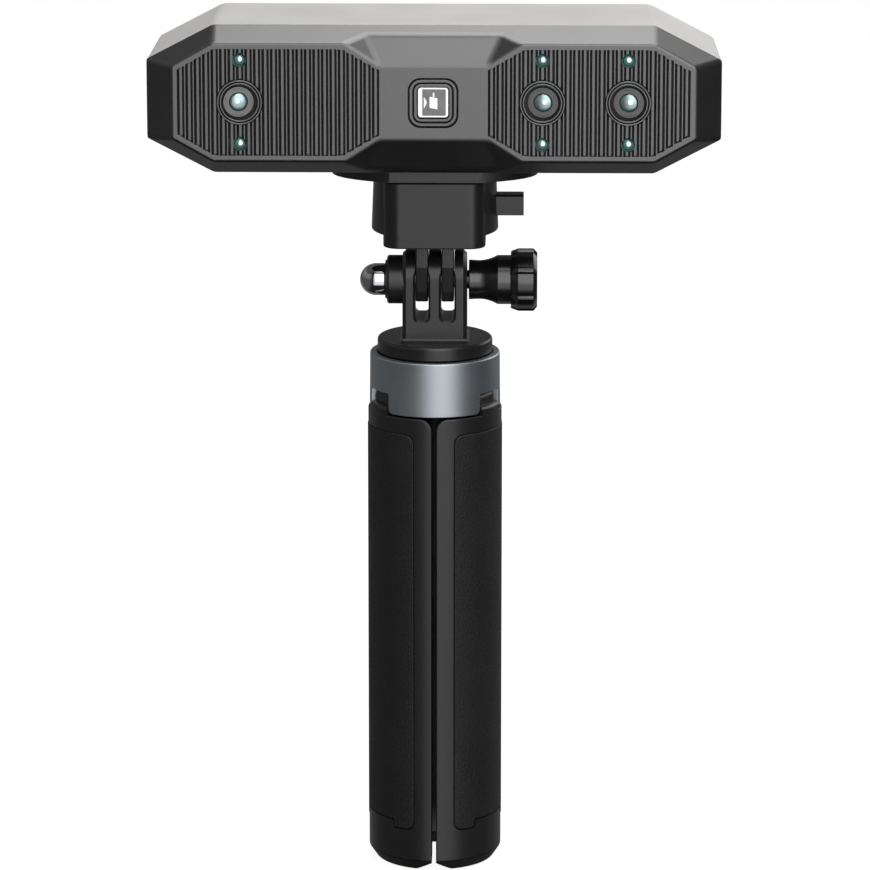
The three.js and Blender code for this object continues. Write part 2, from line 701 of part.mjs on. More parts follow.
/** The hub that fills the collar and holds the hinge pins in its three slots. */
function hingeHub() {
  const radius = COLLAR_INNER_RADIUS - FIT;
  const bottom = SKIRT_BOTTOM + HUB_BOTTOM_RISE;
  const body = rod(radius, "z", bottom, COLLAR_TOP, 0, 0, FINE_STEPS);
  const slot = block(
    HUB_SLOT_FLOOR,
    COLLAR_BOTTOM_RADIUS,
    -KNUCKLE_HALF_WIDTH - FIT,
    KNUCKLE_HALF_WIDTH + FIT,
    bottom - OVERRUN,
    PIN_Z + KNUCKLE_RADIUS + HUB_SLOT_HEADROOM,
  );
  const reach = PIN_HALF_LENGTH + FIT;
  const pinHole = rod(PIN_RADIUS + FIT, "y", -reach, reach, PIN_FROM_AXIS, PIN_Z);
  const studHole = rod(STUD_RADIUS + FIT, "z", bottom - OVERRUN, COLLAR_TOP + OVERRUN);
  return cutBy(body, atEachLeg(joined(slot, pinHole)), studHole);
}

function addCollar() {
  addPiece(root, "collar_ring", collarRing(), COLLAR_METAL);
  addPiece(root, "hinge_hub", hingeHub(), BLACK_PLASTIC);
  const studTop = DISC_BOTTOM + STUD_REACH;
  addPiece(root, "head_stud", rod(STUD_RADIUS, "z", studTop - STUD_LENGTH, studTop), STEEL);
}

// Three-prong head, nut and washer

/** The side view of a lug: a round end about the tilt axle, with straight sides to a flat end. */
function lugOutline(radius, endZ, steps) {
  const up = endZ > PIVOT_Z;
  const from = up ? Math.PI : 0;
  return outline([
    ...arc(0, PIVOT_Z, radius, from, from + Math.PI, steps),
    [up ? radius : -radius, endZ],
    [up ? -radius : radius, endZ],
  ]);
}

/** One slot between two prongs, with round corners in its floor. */
function prongSlot(centre) {
  const half = SLOT_WIDTH / 2;
  const top = PIVOT_Z + PRONG_RADIUS + OVERRUN;
  const floorArc = (side, from) =>
    arc(
      centre + side * (half - SLOT_CORNER),
      SLOT_FLOOR + SLOT_CORNER,
      SLOT_CORNER,
      from,
      from + Math.PI / 2,
      SQUARE_CORNER_STEPS,
    );
  const section = outline([
    [centre + half, top],
    [centre - half, top],
    ...floorArc(-1, Math.PI),
    ...floorArc(1, 1.5 * Math.PI),
  ]);
  return prism(section, "y", -PRONG_RADIUS - OVERRUN, PRONG_RADIUS + OVERRUN);
}

/** The bevelled outline of the prong block seen from above. */
function prongPlan() {
  const x = PRONG_HALF_WIDTH;
  const y = PRONG_RADIUS;
  return outline([
    [x - PRONG_EDGE, -y],
    [x, -y + PRONG_EDGE],
    [x, y - PRONG_EDGE],
    [x - PRONG_EDGE, y],
    [-x + PRONG_EDGE, y],
    [-x, y - PRONG_EDGE],
    [-x, -y + PRONG_EDGE],
    [-x + PRONG_EDGE, -y],
  ]);
}

function prongHead() {
  const disc = turned(
    [
      [0, DISC_BOTTOM],
      [DISC_RADIUS, DISC_BOTTOM],
      [DISC_RADIUS, DISC_TOP - DISC_EDGE],
      [DISC_RADIUS - DISC_EDGE, DISC_TOP],
      [0, DISC_TOP],
    ],
    "z",
    0,
    0,
    FINE_STEPS,
  );
  const plan = prism(prongPlan(), "z", DISC_TOP - DISC_EDGE, PIVOT_Z + PRONG_RADIUS);
  const lug = prism(
    lugOutline(PRONG_RADIUS, DISC_TOP - DISC_EDGE, PRONG_STEPS),
    "x",
    -PRONG_HALF_WIDTH,
    PRONG_HALF_WIDTH,
  );
  const flare = footFlare(
    PRONG_HALF_WIDTH + PRONG_FOOT_FLARE,
    PRONG_RADIUS + PRONG_FOOT_FLARE,
    DISC_TOP,
    PRONG_FOOT_FLARE,
  );
  const boss = turned(
    [
      [0, -PRONG_HALF_WIDTH + PRONG_EDGE],
      [NUT_BOSS_RADIUS, -PRONG_HALF_WIDTH + PRONG_EDGE],
      [NUT_BOSS_RADIUS, BOSS_FACE + NUT_BOSS_EDGE],
      [NUT_BOSS_RADIUS - NUT_BOSS_EDGE, BOSS_FACE],
      [0, BOSS_FACE],
    ],
    "x",
    0,
    PIVOT_Z,
  );
  const bore = rod(SCREW_RADIUS + FIT, "x", BOSS_FACE - OVERRUN, KNOB_FACE, 0, PIVOT_Z);
  const studHole = rod(STUD_RADIUS + FIT, "z", DISC_BOTTOM - OVERRUN, DISC_BOTTOM + STUD_REACH + FIT);
  const prongs = joined(common(lug, plan), flare);
  return cutBy(
    joined(disc, prongs, boss),
    prongSlot(-SLOT_CENTRE),
    prongSlot(SLOT_CENTRE),
    bore,
    studHole,
  );
}

/** A shallow four-sided flare round the foot of the prong block. */
function footFlare(halfX, halfY, bottom, inset) {
  const corners = [];
  for (const x of [-1, 1]) {
    for (const y of [-1, 1]) {
      corners.push(new THREE.Vector3(x * halfX, y * halfY, bottom - inset / 2));
      corners.push(new THREE.Vector3(x * halfX, y * halfY, bottom));
      corners.push(new THREE.Vector3(x * (halfX - inset), y * (halfY - inset), bottom + inset));
    }
  }
  return solidOf(new ConvexGeometry(corners));
}

/** The domed nut: a short barrel that ends in half a ball, with a blind bore for the screw. */
function acornNut() {
  const domeBase = NUT_FACE - (NUT_LENGTH - NUT_RADIUS);
  const dome = arc(0, 0, NUT_RADIUS, 0, Math.PI / 2, NUT_STEPS).map(([out, back]) => [
    out,
    domeBase - back,
  ]);
  const tip = [0, NUT_FACE - NUT_LENGTH];
  const profile = [[0, NUT_FACE], [NUT_RADIUS, NUT_FACE], ...dome.slice(0, -1), tip];
  const body = turned(profile, "x", 0, PIVOT_Z);
  return cutBy(
    body,
    rod(SCREW_RADIUS + FIT, "x", NUT_FACE - NUT_BORE_DEPTH, NUT_FACE + OVERRUN, 0, PIVOT_Z),
  );
}

function nutWasher() {
  return cutBy(
    rod(WASHER_RADIUS, "x", NUT_FACE, BOSS_FACE, 0, PIVOT_Z, ROUND_STEPS),
    rod(SCREW_RADIUS + FIT, "x", NUT_FACE - OVERRUN, BOSS_FACE + OVERRUN, 0, PIVOT_Z),
  );
}

function addHead() {
  addPiece(root, "prong_head", prongHead(), BLACK_PLASTIC);
  addPiece(root, "nut_washer", nutWasher(), BLACK_PLASTIC);
  addPiece(root, "acorn_nut", acornNut(), CHROME);
}

// Thumb knob

/** The knob's flared neck and collar, as [radius, place] points along the axle. */
function knobNeckProfile() {
  const waist = KNOB_FACE + KNOB_NECK_LENGTH * KNOB_WAIST_SHARE;
  const flare = Array.from({ length: KNOB_FLARE_STEPS + 1 }, (_, i) => {
    const t = i / KNOB_FLARE_STEPS;
    const radius = KNOB_WAIST_RADIUS + (KNOB_COLLAR_RADIUS - KNOB_WAIST_RADIUS) * t * t;
    return [radius, waist + (KNOB_COLLAR_FACE - waist) * t];
  });
  return [
    [0, KNOB_FACE],
    [KNOB_NECK_RADIUS, KNOB_FACE],
    ...flare,
    [KNOB_COLLAR_RADIUS, KNOB_HEAD_FACE + OVERRUN],
    [0, KNOB_HEAD_FACE + OVERRUN],
  ];
}

/** The outline of the knob's head: narrow lobes with a flat recess between each two. */
function knobHeadOutline() {
  const recess = KNOB_HEAD_RADIUS - KNOB_RECESS;
  const points = [];
  for (let lobe = 0; lobe < KNOB_LOBES; lobe++) {
    const middle = ((lobe + 0.5) * 2 * Math.PI) / KNOB_LOBES;
    for (const [radius, offset] of [
      [recess, -KNOB_ROOT_HALF_ANGLE],
      [KNOB_HEAD_RADIUS, -KNOB_CREST_HALF_ANGLE],
      [KNOB_HEAD_RADIUS, KNOB_CREST_HALF_ANGLE],
      [recess, KNOB_ROOT_HALF_ANGLE],
    ]) {
      const angle = middle + offset;
      points.push([radius * Math.cos(angle), PIVOT_Z + radius * Math.sin(angle)]);
    }
  }
  return outline(points);
}

function tiltKnob() {
  const envelope = turned(
    [
      [0, KNOB_HEAD_FACE],
      [KNOB_HEAD_RADIUS - KNOB_INNER_CHAMFER_DROP, KNOB_HEAD_FACE],
      [KNOB_HEAD_RADIUS, KNOB_HEAD_FACE + KNOB_INNER_CHAMFER_LENGTH],
      [KNOB_HEAD_RADIUS, KNOB_END - KNOB_OUTER_CHAMFER],
      [KNOB_HEAD_RADIUS - KNOB_OUTER_CHAMFER, KNOB_END],
      [0, KNOB_END],
    ],
    "x",
    0,
    PIVOT_Z,
  );
  const head = common(prism(knobHeadOutline(), "x", KNOB_HEAD_FACE, KNOB_END), envelope);
  const neck = turned(knobNeckProfile(), "x", 0, PIVOT_Z);
  const bore = rod(
    SCREW_RADIUS + FIT,
    "x",
    KNOB_FACE - OVERRUN,
    KNOB_FACE + KNOB_BORE_DEPTH,
    0,
    PIVOT_Z,
  );
  return cutBy(joined(neck, head), bore);
}

function addKnob() {
  addPiece(root, "tilt_knob", tiltKnob(), BLACK_PLASTIC);
  const screw = rod(
    SCREW_RADIUS,
    "x",
    NUT_FACE - NUT_BORE_DEPTH + FIT,
    KNOB_FACE + KNOB_BORE_DEPTH - FIT,
    0,
    PIVOT_Z,
  );
  addPiece(root, "knob_screw", screw, STEEL);
}

// Adapter with its release button

const BUTTON_BOTTOM = ADAPTER_BOTTOM + BUTTON_RISE;
const BUTTON_TOP = BUTTON_BOTTOM + BUTTON_HEIGHT;
const TENON_BOTTOM = ADAPTER_TOP - TENON_LENGTH;
const HOOK_OUTSIDE = -TENON_RADIUS - FIT - HOOK_STEM_THICKNESS;
const HOOK_NOSE_BOTTOM = TENON_BOTTOM + HOOK_LIP + FIT;
const CHANNEL_END = HOOK_OUTSIDE - SPRING_LENGTH - FIT;

/** Corner points of the adapter at one height: a round back, and a flat front with round corners. */
function adapterSection(radius, height) {
  const cornerX = BLOCK_HALF_WIDTH - BLOCK_CORNER;
  const cornerY = BLOCK_CORNER - ADAPTER_FLAT;
  const quarter = Math.PI / 2;
  return [
    ...arc(0, 0, radius, ADAPTER_ROUND_FROM, Math.PI - ADAPTER_ROUND_FROM, FINE_STEPS),
    ...arc(-cornerX, cornerY, BLOCK_CORNER, -2 * quarter, -quarter, BLOCK_CORNER_STEPS),
    ...arc(cornerX, cornerY, BLOCK_CORNER, -quarter, 0, BLOCK_CORNER_STEPS),
  ].map(([x, y]) => new THREE.Vector3(x, y, height));
}

function adapterBody() {
  const upper = solidOf(
    new ConvexGeometry([
      ...adapterSection(ADAPTER_BOTTOM_RADIUS, ADAPTER_BOTTOM),
      ...adapterSection(ADAPTER_TOP_RADIUS, ADAPTER_TOP),
    ]),
  );
  const lower = prism(
    roundedRectangle(BLOCK_HALF_WIDTH, ADAPTER_FLAT, BLOCK_CORNER, BLOCK_CORNER_STEPS),
    "z",
    BLOCK_BOTTOM,
    ADAPTER_BOTTOM + OVERRUN,
  );
  const tab = (centre) =>
    prism(
      lugOutline(TAB_RADIUS, BLOCK_BOTTOM + OVERRUN, TAB_STEPS),
      "x",
      centre - TAB_WIDTH / 2,
      centre + TAB_WIDTH / 2,
    );
  const bore = rod(SCREW_RADIUS + FIT, "x", -PRONG_HALF_WIDTH, PRONG_HALF_WIDTH, 0, PIVOT_Z);
  const socket = rod(
    TENON_RADIUS + FIT,
    "z",
    TENON_BOTTOM - FIT,
    ADAPTER_TOP + OVERRUN,
    0,
    0,
    ROUND_STEPS,
  );
  const channel = block(
    CHANNEL_END,
    ADAPTER_BOTTOM_RADIUS + OVERRUN,
    -BUTTON_DEPTH / 2 - FIT,
    BUTTON_DEPTH / 2 + FIT,
    BUTTON_BOTTOM - FIT,
    BUTTON_TOP + FIT,
  );
  const hookWay = block(
    HOOK_OUTSIDE - BUTTON_TRAVEL - FIT,
    0,
    -HOOK_HALF_WIDTH - FIT,
    HOOK_HALF_WIDTH + FIT,
    BUTTON_BOTTOM,
    HOOK_NOSE_BOTTOM + HOOK_NOSE_HEIGHT + FIT,
  );
  return cutBy(
    joined(upper, lower, tab(-SLOT_CENTRE), tab(SLOT_CENTRE)),
    bore,
    socket,
    channel,
    hookWay,
  );
}

/** The button's tab, its bar across the adapter, and the hook at the bar's far end. */
function releaseButton() {
  const half = BUTTON_DEPTH / 2;
  const section = outline([
    [-half, BUTTON_BOTTOM],
    [half, BUTTON_BOTTOM],
    [half, BUTTON_TOP - BUTTON_BEVEL],
    [half - BUTTON_BEVEL, BUTTON_TOP],
    [-half + BUTTON_BEVEL, BUTTON_TOP],
    [-half, BUTTON_TOP - BUTTON_BEVEL],
  ]);
  const bar = prism(section, "x", HOOK_OUTSIDE, BUTTON_REACH);
  const top = HOOK_NOSE_BOTTOM + HOOK_NOSE_HEIGHT;
  const stem = block(
    HOOK_OUTSIDE,
    HOOK_OUTSIDE + HOOK_STEM_THICKNESS,
    -HOOK_HALF_WIDTH,
    HOOK_HALF_WIDTH,
    BUTTON_BOTTOM,
    top,
  );
  const nose = block(
    HOOK_OUTSIDE,
    HOOK_OUTSIDE + HOOK_STEM_THICKNESS + HOOK_NOSE,
    -HOOK_HALF_WIDTH,
    HOOK_HALF_WIDTH,
    HOOK_NOSE_BOTTOM,
    top,
  );
  return joined(bar, stem, nose);
}

function latchSpring() {
  const from = CHANNEL_END + FIT / 2;
  const to = HOOK_OUTSIDE - FIT / 2;
  const middle = (BUTTON_BOTTOM + BUTTON_TOP) / 2;
  return cutBy(
    rod(SPRING_RADIUS, "x", from, to, 0, middle),
    rod(SPRING_RADIUS - SPRING_WALL, "x", from - OVERRUN, to + OVERRUN, 0, middle),
  );
}

// Plate and screw that join the adapter to the scanner

function mountPlate() {
  const ellipse = arc(0, 0, 1, 0, 2 * Math.PI, FINE_STEPS)
    .slice(1)
    .map(([x, y]) => [x * PLATE_HALF_WIDTH, y * PLATE_HALF_DEPTH]);
  const plate = common(
    prism(outline(ellipse), "z", PLATE_BOTTOM, SCANNER_BOTTOM),
    block(
      -PLATE_HALF_WIDTH,
      PLATE_HALF_WIDTH,
      -PLATE_FLAT,
      PLATE_FLAT,
      PLATE_BOTTOM,
      SCANNER_BOTTOM,
    ),
  );
  const footTop = PLATE_BOTTOM + PLATE_GAP;
  const plateFoot = rod(PLATE_FOOT_RADIUS, "z", ADAPTER_TOP, footTop, 0, 0, ROUND_STEPS);
  const tenon = rod(TENON_RADIUS, "z", TENON_BOTTOM, PLATE_BOTTOM, 0, 0, ROUND_STEPS);
  const notch = block(
    -TENON_RADIUS - OVERRUN,
    HOOK_OUTSIDE + HOOK_STEM_THICKNESS + HOOK_NOSE + FIT,
    -HOOK_HALF_WIDTH - FIT,
    HOOK_HALF_WIDTH + FIT,
    HOOK_NOSE_BOTTOM - FIT,
    HOOK_NOSE_BOTTOM + HOOK_NOSE_HEIGHT + FIT,
  );
  const headHole = rod(
    MOUNT_SCREW_HEAD_RADIUS + FIT,
    "z",
    TENON_BOTTOM - OVERRUN,
    TENON_BOTTOM + MOUNT_SCREW_HEAD_HEIGHT + FIT,
  );
  const hole = rod(MOUNT_SCREW_RADIUS + FIT, "z", TENON_BOTTOM, SCANNER_BOTTOM + OVERRUN);
  return cutBy(joined(plate, plateFoot, tenon), notch, headHole, hole);
}

function mountScrew() {
  const headTop = TENON_BOTTOM + MOUNT_SCREW_HEAD_HEIGHT;
  const shank = rod(MOUNT_SCREW_RADIUS, "z", TENON_BOTTOM, SCANNER_BOTTOM + MOUNT_SCREW_REACH);
  return joined(rod(MOUNT_SCREW_HEAD_RADIUS, "z", TENON_BOTTOM, headTop), shank);
}

function addAdapter() {
  addPiece(root, "adapter_body", adapterBody(), BLACK_PLASTIC);
  addPiece(root, "release_button", releaseButton(), BLACK_PLASTIC);
  addPiece(root, "latch_spring", latchSpring(), STEEL);
  addPiece(root, "mount_plate", mountPlate(), BLACK_PLASTIC);
  addPiece(root, "mount_screw", mountScrew(), STEEL);
}

// Scanner housing

const rimPoints = () =>
  octagon(SCANNER_WIDTH / 2, SCANNER_HEIGHT / 2, RIM_CORNER_WIDTH, RIM_CORNER_HEIGHT);

const facePoints = () =>
  octagon(
    SCANNER_WIDTH / 2 - FACE_SIDE_INSET,
    SCANNER_HEIGHT / 2 - FACE_EDGE_INSET,
    FACE_CORNER_WIDTH,
    FACE_CORNER_HEIGHT,
  );

/** The octagon of the shell's section, drawn in by a wall and by the draft. */
const shellPoints = (inset, sideDraft, edgeDraft) =>
  octagon(
    SCANNER_WIDTH / 2 - inset - sideDraft,
    SCANNER_HEIGHT / 2 - inset - edgeDraft,
    RIM_CORNER_WIDTH - inset / 2,
    RIM_CORNER_HEIGHT - inset / 2,
  );

/**
 * The wedge cut off above (side 1) or below (side -1) the centre of the face: a middle facet from
 * the bridge's edge back to the bevel, with a triangular facet at each end of it.
 */
function facetCut(side, reachShare) {
  const faceEdge = SCANNER_HEIGHT / 2 - FACE_EDGE_INSET;
  const at = (x, y, z) => new THREE.Vector3(x, y, SCANNER_MIDDLE + side * z);
  const corners = [];
  for (const hand of [-1, 1]) {
    const bridge = at(hand * BRIDGE_HALF_WIDTH, FACE_Y, BRIDGE_HALF_HEIGHT);
    const reach = at(
      hand * FACET_INNER_HALF_WIDTH,
      FACE_Y + BEVEL_DEPTH * reachShare,
      faceEdge + FACE_EDGE_INSET * reachShare,
    );
    const tip = at(hand * FACET_OUTER_HALF_WIDTH, FACE_Y, faceEdge);
    const middle = bridge.clone().add(reach).divideScalar(2);
    const pastTip = tip.clone().sub(middle).normalize().multiplyScalar(OVERRUN);
    const run = reach.clone().sub(bridge).normalize().multiplyScalar(OVERRUN);
    corners.push(bridge.clone().sub(run), reach.clone().add(run), tip.add(pastTip));
    corners.push(at(hand * BRIDGE_HALF_WIDTH, FACE_Y - BEVEL_DEPTH, SCANNER_HEIGHT));
  }
  return solidOf(new ConvexGeometry(corners));
}

/** How far a ribbed panel reaches above the middle at a distance from the panel's own centre. */
function panelReach(offset) {
  const halfWidth = (RIB_OUTER - RIB_INNER) / 2;
  const past = Math.max(0, Math.abs(offset) - (halfWidth - RIB_CORNER_WIDTH));
  return RIB_HALF_HEIGHT - (RIB_CORNER_HEIGHT * past) / RIB_CORNER_WIDTH;
}

/** The grooves of both ribbed panels, each a thin upright slot inside the panel's octagon. */
function ribGrooves() {
  const panelCentre = (RIB_OUTER + RIB_INNER) / 2;
  const count = Math.floor((RIB_OUTER - RIB_INNER + RIB_PITCH - RIB_GROOVE_WIDTH) / RIB_PITCH);
  const shapes = [];
  for (const side of [-1, 1]) {
    for (let i = 0; i < count; i++) {
      const offset = (i - (count - 1) / 2) * RIB_PITCH;
      const left = offset - RIB_GROOVE_WIDTH / 2;
      const right = offset + RIB_GROOVE_WIDTH / 2;
      const x = side * panelCentre;
      shapes.push(
        outline([
          [x + left, SCANNER_MIDDLE - panelReach(left)],
          [x + right, SCANNER_MIDDLE - panelReach(right)],
          [x + right, SCANNER_MIDDLE + panelReach(right)],
          [x + left, SCANNER_MIDDLE + panelReach(left)],
        ]),
      );
    }
  }
  return prism(shapes, "y", FACE_Y - OVERRUN, FACE_Y + RIB_GROOVE_DEPTH);
}

/** The stepped opening for one camera. */
function cameraOpening(x) {
  return turned(
    [
      [0, FACE_Y - OVERRUN],
      [CAMERA_RECESS_RADIUS, FACE_Y - OVERRUN],
      [CAMERA_RECESS_RADIUS, FACE_Y + CAMERA_RECESS_DEPTH],
      [CAMERA_STEP_RADIUS, FACE_Y + CAMERA_RECESS_DEPTH],
      [CAMERA_STEP_RADIUS, FACE_Y + CAMERA_STEP_DEPTH],
      [CAMERA_BORE_RADIUS, FACE_Y + CAMERA_STEP_DEPTH],
      [CAMERA_BORE_RADIUS, FRONT_WALL_Y + OVERRUN],
      [0, FRONT_WALL_Y + OVERRUN],
    ],
    "y",
    x,
    SCANNER_MIDDLE,
  );
}

/** The stepped opening for one lamp, with a seat for its flange behind the wall. */
function lampOpening(x, z) {
  const seatBack = FRONT_WALL_Y + LAMP_FLANGE_THICKNESS + FIT;
  return turned(
    [
      [0, FACE_Y - OVERRUN],
      [LAMP_RECESS_RADIUS, FACE_Y - OVERRUN],
      [LAMP_RECESS_RADIUS, FACE_Y + LAMP_RECESS_DEPTH],
      [LAMP_RADIUS + SLIP, FACE_Y + LAMP_RECESS_DEPTH],
      [LAMP_RADIUS + SLIP, FRONT_WALL_Y],
      [LAMP_FLANGE_RADIUS + FIT, FRONT_WALL_Y],
      [LAMP_FLANGE_RADIUS + FIT, seatBack],
      [0, seatBack],
    ],
    "y",
    x,
    z,
    SMALL_STEPS,
  );
}

/** A square prism with round corners about the projector's axis. */
const squarePrism = (side, corner, from, to) =>
  prism(
    roundedRectangle(side / 2, side / 2, corner, SQUARE_CORNER_STEPS, 0, SCANNER_MIDDLE),
    "y",
    from,
    to,
  );

/** The space behind the face: a pocket at each side, and a lower one behind the centre facets. */
function housingPocket() {
  const outside = POCKET_HALF_WIDTH;
  const inside = FACET_OUTER_HALF_WIDTH + FRONT_WALL;
  const high = POCKET_HALF_HEIGHT;
  const low = BRIDGE_POCKET_HALF_HEIGHT;
  const corner = FACE_CORNER_HEIGHT;
  const quarter = [
    [outside, high - corner],
    [outside - corner, high],
    [inside, high],
    [inside, low],
  ];
  const mirrored = (points, sideX, sideZ) => points.map(([x, z]) => [sideX * x, sideZ * z]);
  const points = [
    ...mirrored(quarter, 1, 1),
    ...mirrored(quarter, -1, 1).reverse(),
    ...mirrored(quarter, -1, -1),
    ...mirrored(quarter, 1, -1).reverse(),
  ].map(([x, z]) => [x, SCANNER_MIDDLE + z]);
  return prism(outline(points), "y", FRONT_WALL_Y, RIM_Y + LIP_LENGTH + OVERRUN);
}

function frontHousing() {
  const body = lofted(facePoints(), FACE_Y, rimPoints(), RIM_Y);
  const lipInset = SHELL_WALL + FIT;
  const lip = prism(
    outline(shellPoints(lipInset, SHELL_SIDE_DRAFT, SHELL_EDGE_DRAFT)),
    "y",
    RIM_Y - OVERRUN,
    RIM_Y + LIP_LENGTH,
  );
  const lipHole = prism(
    outline(shellPoints(lipInset + LIP_THICKNESS, SHELL_SIDE_DRAFT, SHELL_EDGE_DRAFT)),
    "y",
    RIM_Y,
    RIM_Y + LIP_LENGTH + OVERRUN,
  );
  const openings = Object.values(CAMERA_PLACES).flatMap((x) => [
    cameraOpening(x),
    lampOpening(x, SCANNER_MIDDLE + LAMP_OFFSET),
    lampOpening(x, SCANNER_MIDDLE - LAMP_OFFSET),
  ]);
  return cutBy(
    joined(body, cutBy(lip, lipHole)),
    facetCut(1, UPPER_FACET_REACH_SHARE),
    facetCut(-1, LOWER_FACET_REACH_SHARE),
    ribGrooves(),
    ...openings,
    squarePrism(
      PROJECTOR_RECESS_SIDE,
      PROJECTOR_CORNER,
      FACE_Y - OVERRUN,
      FACE_Y + PROJECTOR_RECESS_DEPTH,
    ),
    squarePrism(
      PROJECTOR_HOLE_SIDE,
      PROJECTOR_CORNER - (PROJECTOR_RECESS_SIDE - PROJECTOR_HOLE_SIDE) / 2,
      FACE_Y,
      FRONT_WALL_Y + OVERRUN,
    ),
    housingPocket(),
  );
}

const screwPlaces = () => [
  [-POST_X, SCANNER_MIDDLE - POST_Z],
  [POST_X, SCANNER_MIDDLE - POST_Z],
  [-POST_X, SCANNER_MIDDLE + POST_Z],
  [POST_X, SCANNER_MIDDLE + POST_Z],
];

function rearShell() {
  const outside = lofted(
    rimPoints(),
    RIM_Y,
    shellPoints(0, SHELL_SIDE_DRAFT, SHELL_EDGE_DRAFT),
    BACK_Y,
  );
  const inside = prism(
    outline(shellPoints(SHELL_WALL, SHELL_SIDE_DRAFT, SHELL_EDGE_DRAFT)),
    "y",
    RIM_Y - OVERRUN,
    BACK_WALL_Y,
  );
  const insertTop = SCANNER_BOTTOM + SHELL_WALL + INSERT_HEIGHT;
  const insert = rod(INSERT_RADIUS, "z", SCANNER_BOTTOM + SHELL_WALL / 2, insertTop, 0, 0, SMALL_STEPS);
  const insertHole = rod(
    MOUNT_SCREW_RADIUS + FIT,
    "z",
    SCANNER_BOTTOM - OVERRUN,
    SCANNER_BOTTOM + MOUNT_SCREW_REACH + FIT,
  );
  const standoffs = [-1, 1].flatMap((x) =>
    [-1, 1].map((z) =>
      rod(
        STANDOFF_RADIUS,
        "y",
        BOARD_BACK,
        BACK_WALL_Y + SHELL_WALL / 2,
        x * STANDOFF_X,
        SCANNER_MIDDLE + z * STANDOFF_Z,
      ),
    ),
  );
  const screwHoles = screwPlaces().map(([x, z]) =>
    joined(
      rod(HOUSING_SCREW_RADIUS + FIT, "y", BACK_WALL_Y - OVERRUN, BACK_Y, x, z),
      rod(
        HOUSING_SCREW_HEAD_RADIUS + FIT,
        "y",
        BACK_Y - HOUSING_SCREW_SINK - HOUSING_SCREW_HEAD_HEIGHT,
        BACK_Y + OVERRUN,
        x,
        z,
      ),
    ),
  );
  const buttonHole = rod(
    SCAN_BUTTON_RADIUS + FIT,
    "y",
    BACK_WALL_Y - OVERRUN,
    BACK_Y + OVERRUN,
    SCAN_BUTTON_X,
    SCANNER_MIDDLE + SCAN_BUTTON_RISE,
    ROUND_STEPS,
  );
  const socketHole = prism(
    socketOutline(FIT),
    "y",
    BACK_WALL_Y - OVERRUN,
    BACK_Y + OVERRUN,
  );
  return cutBy(
    joined(cutBy(outside, inside), insert, ...standoffs),
    insertHole,
    ...screwHoles,
    buttonHole,
    socketHole,
  );
}

// Optics and electronics inside the scanner

/** The ring that holds a camera's lens, with four notches in its rim. */
function cameraHolder(x) {
  const front = FACE_Y + HOLDER_SINK;
  const back = front + HOLDER_THICKNESS;
  const disc = rod(HOLDER_RADIUS, "y", front, back, x, SCANNER_MIDDLE, ROUND_STEPS);
  const bore = rod(LENS_RADIUS + SLIP, "y", front - OVERRUN, back + OVERRUN, x, SCANNER_MIDDLE);
  const half = HOLDER_NOTCH_WIDTH / 2;
  const inner = HOLDER_RADIUS - HOLDER_NOTCH_DEPTH;
  const outer = HOLDER_RADIUS + OVERRUN;
  const floor = front + HOLDER_NOTCH_DEPTH;
  const notches = [-1, 1].flatMap((side) => {
    const near = Math.min(side * inner, side * outer);
    const far = Math.max(side * inner, side * outer);
    return [
      block(x + near, x + far, front - OVERRUN, floor, SCANNER_MIDDLE - half, SCANNER_MIDDLE + half),
      block(x - half, x + half, front - OVERRUN, floor, SCANNER_MIDDLE + near, SCANNER_MIDDLE + far),
    ];
  });
  return cutBy(disc, bore, ...notches);
}

/** A dome on a short rod, facing -Y: the shape of a lens or a lamp. */
function domeProfile(radius, tip, rise, back, steps) {
  const dome = arc(0, 0, 1, Math.PI / 2, 0, steps)
    .slice(1)
    .map(([out, up]) => [radius * out, tip + rise * (1 - up)]);
  return [[0, tip], ...dome, [radius, back], [0, back]];
}

function cameraLens(x) {
  const holderFront = FACE_Y + HOLDER_SINK;
  const profile = domeProfile(
    LENS_RADIUS,
    holderFront - LENS_PROUD,
    LENS_PROUD,
    holderFront + HOLDER_THICKNESS + LENS_TAIL,
    LENS_DOME_STEPS,
  );
  return turned(profile, "y", x, SCANNER_MIDDLE, SMALL_STEPS);
}

function cameraBarrel(x) {
  const front = FACE_Y + HOLDER_SINK + HOLDER_THICKNESS;
  return cutBy(
    rod(BARREL_RADIUS, "y", front, FRAME_BACK, x, SCANNER_MIDDLE, ROUND_STEPS),
    rod(BARREL_BORE_RADIUS, "y", front - OVERRUN, FRAME_BACK - FRAME_THICKNESS, x, SCANNER_MIDDLE),
  );
}

/** A lamp: a domed rod with a flange that rests on the housing's inner wall. */
function lamp(x, z) {
  const flangeBack = FRONT_WALL_Y + LAMP_FLANGE_THICKNESS;
  const dome = domeProfile(
    LAMP_RADIUS,
    FACE_Y + LAMP_SINK,
    LAMP_RADIUS / 2,
    FRONT_WALL_Y,
    LAMP_DOME_STEPS,
  );
  const profile = [
    ...dome.slice(0, -1),
    [LAMP_FLANGE_RADIUS, FRONT_WALL_Y],
    [LAMP_FLANGE_RADIUS, flangeBack],
    [0, flangeBack],
  ];
  return turned(profile, "y", x, z, SMALL_STEPS);
}

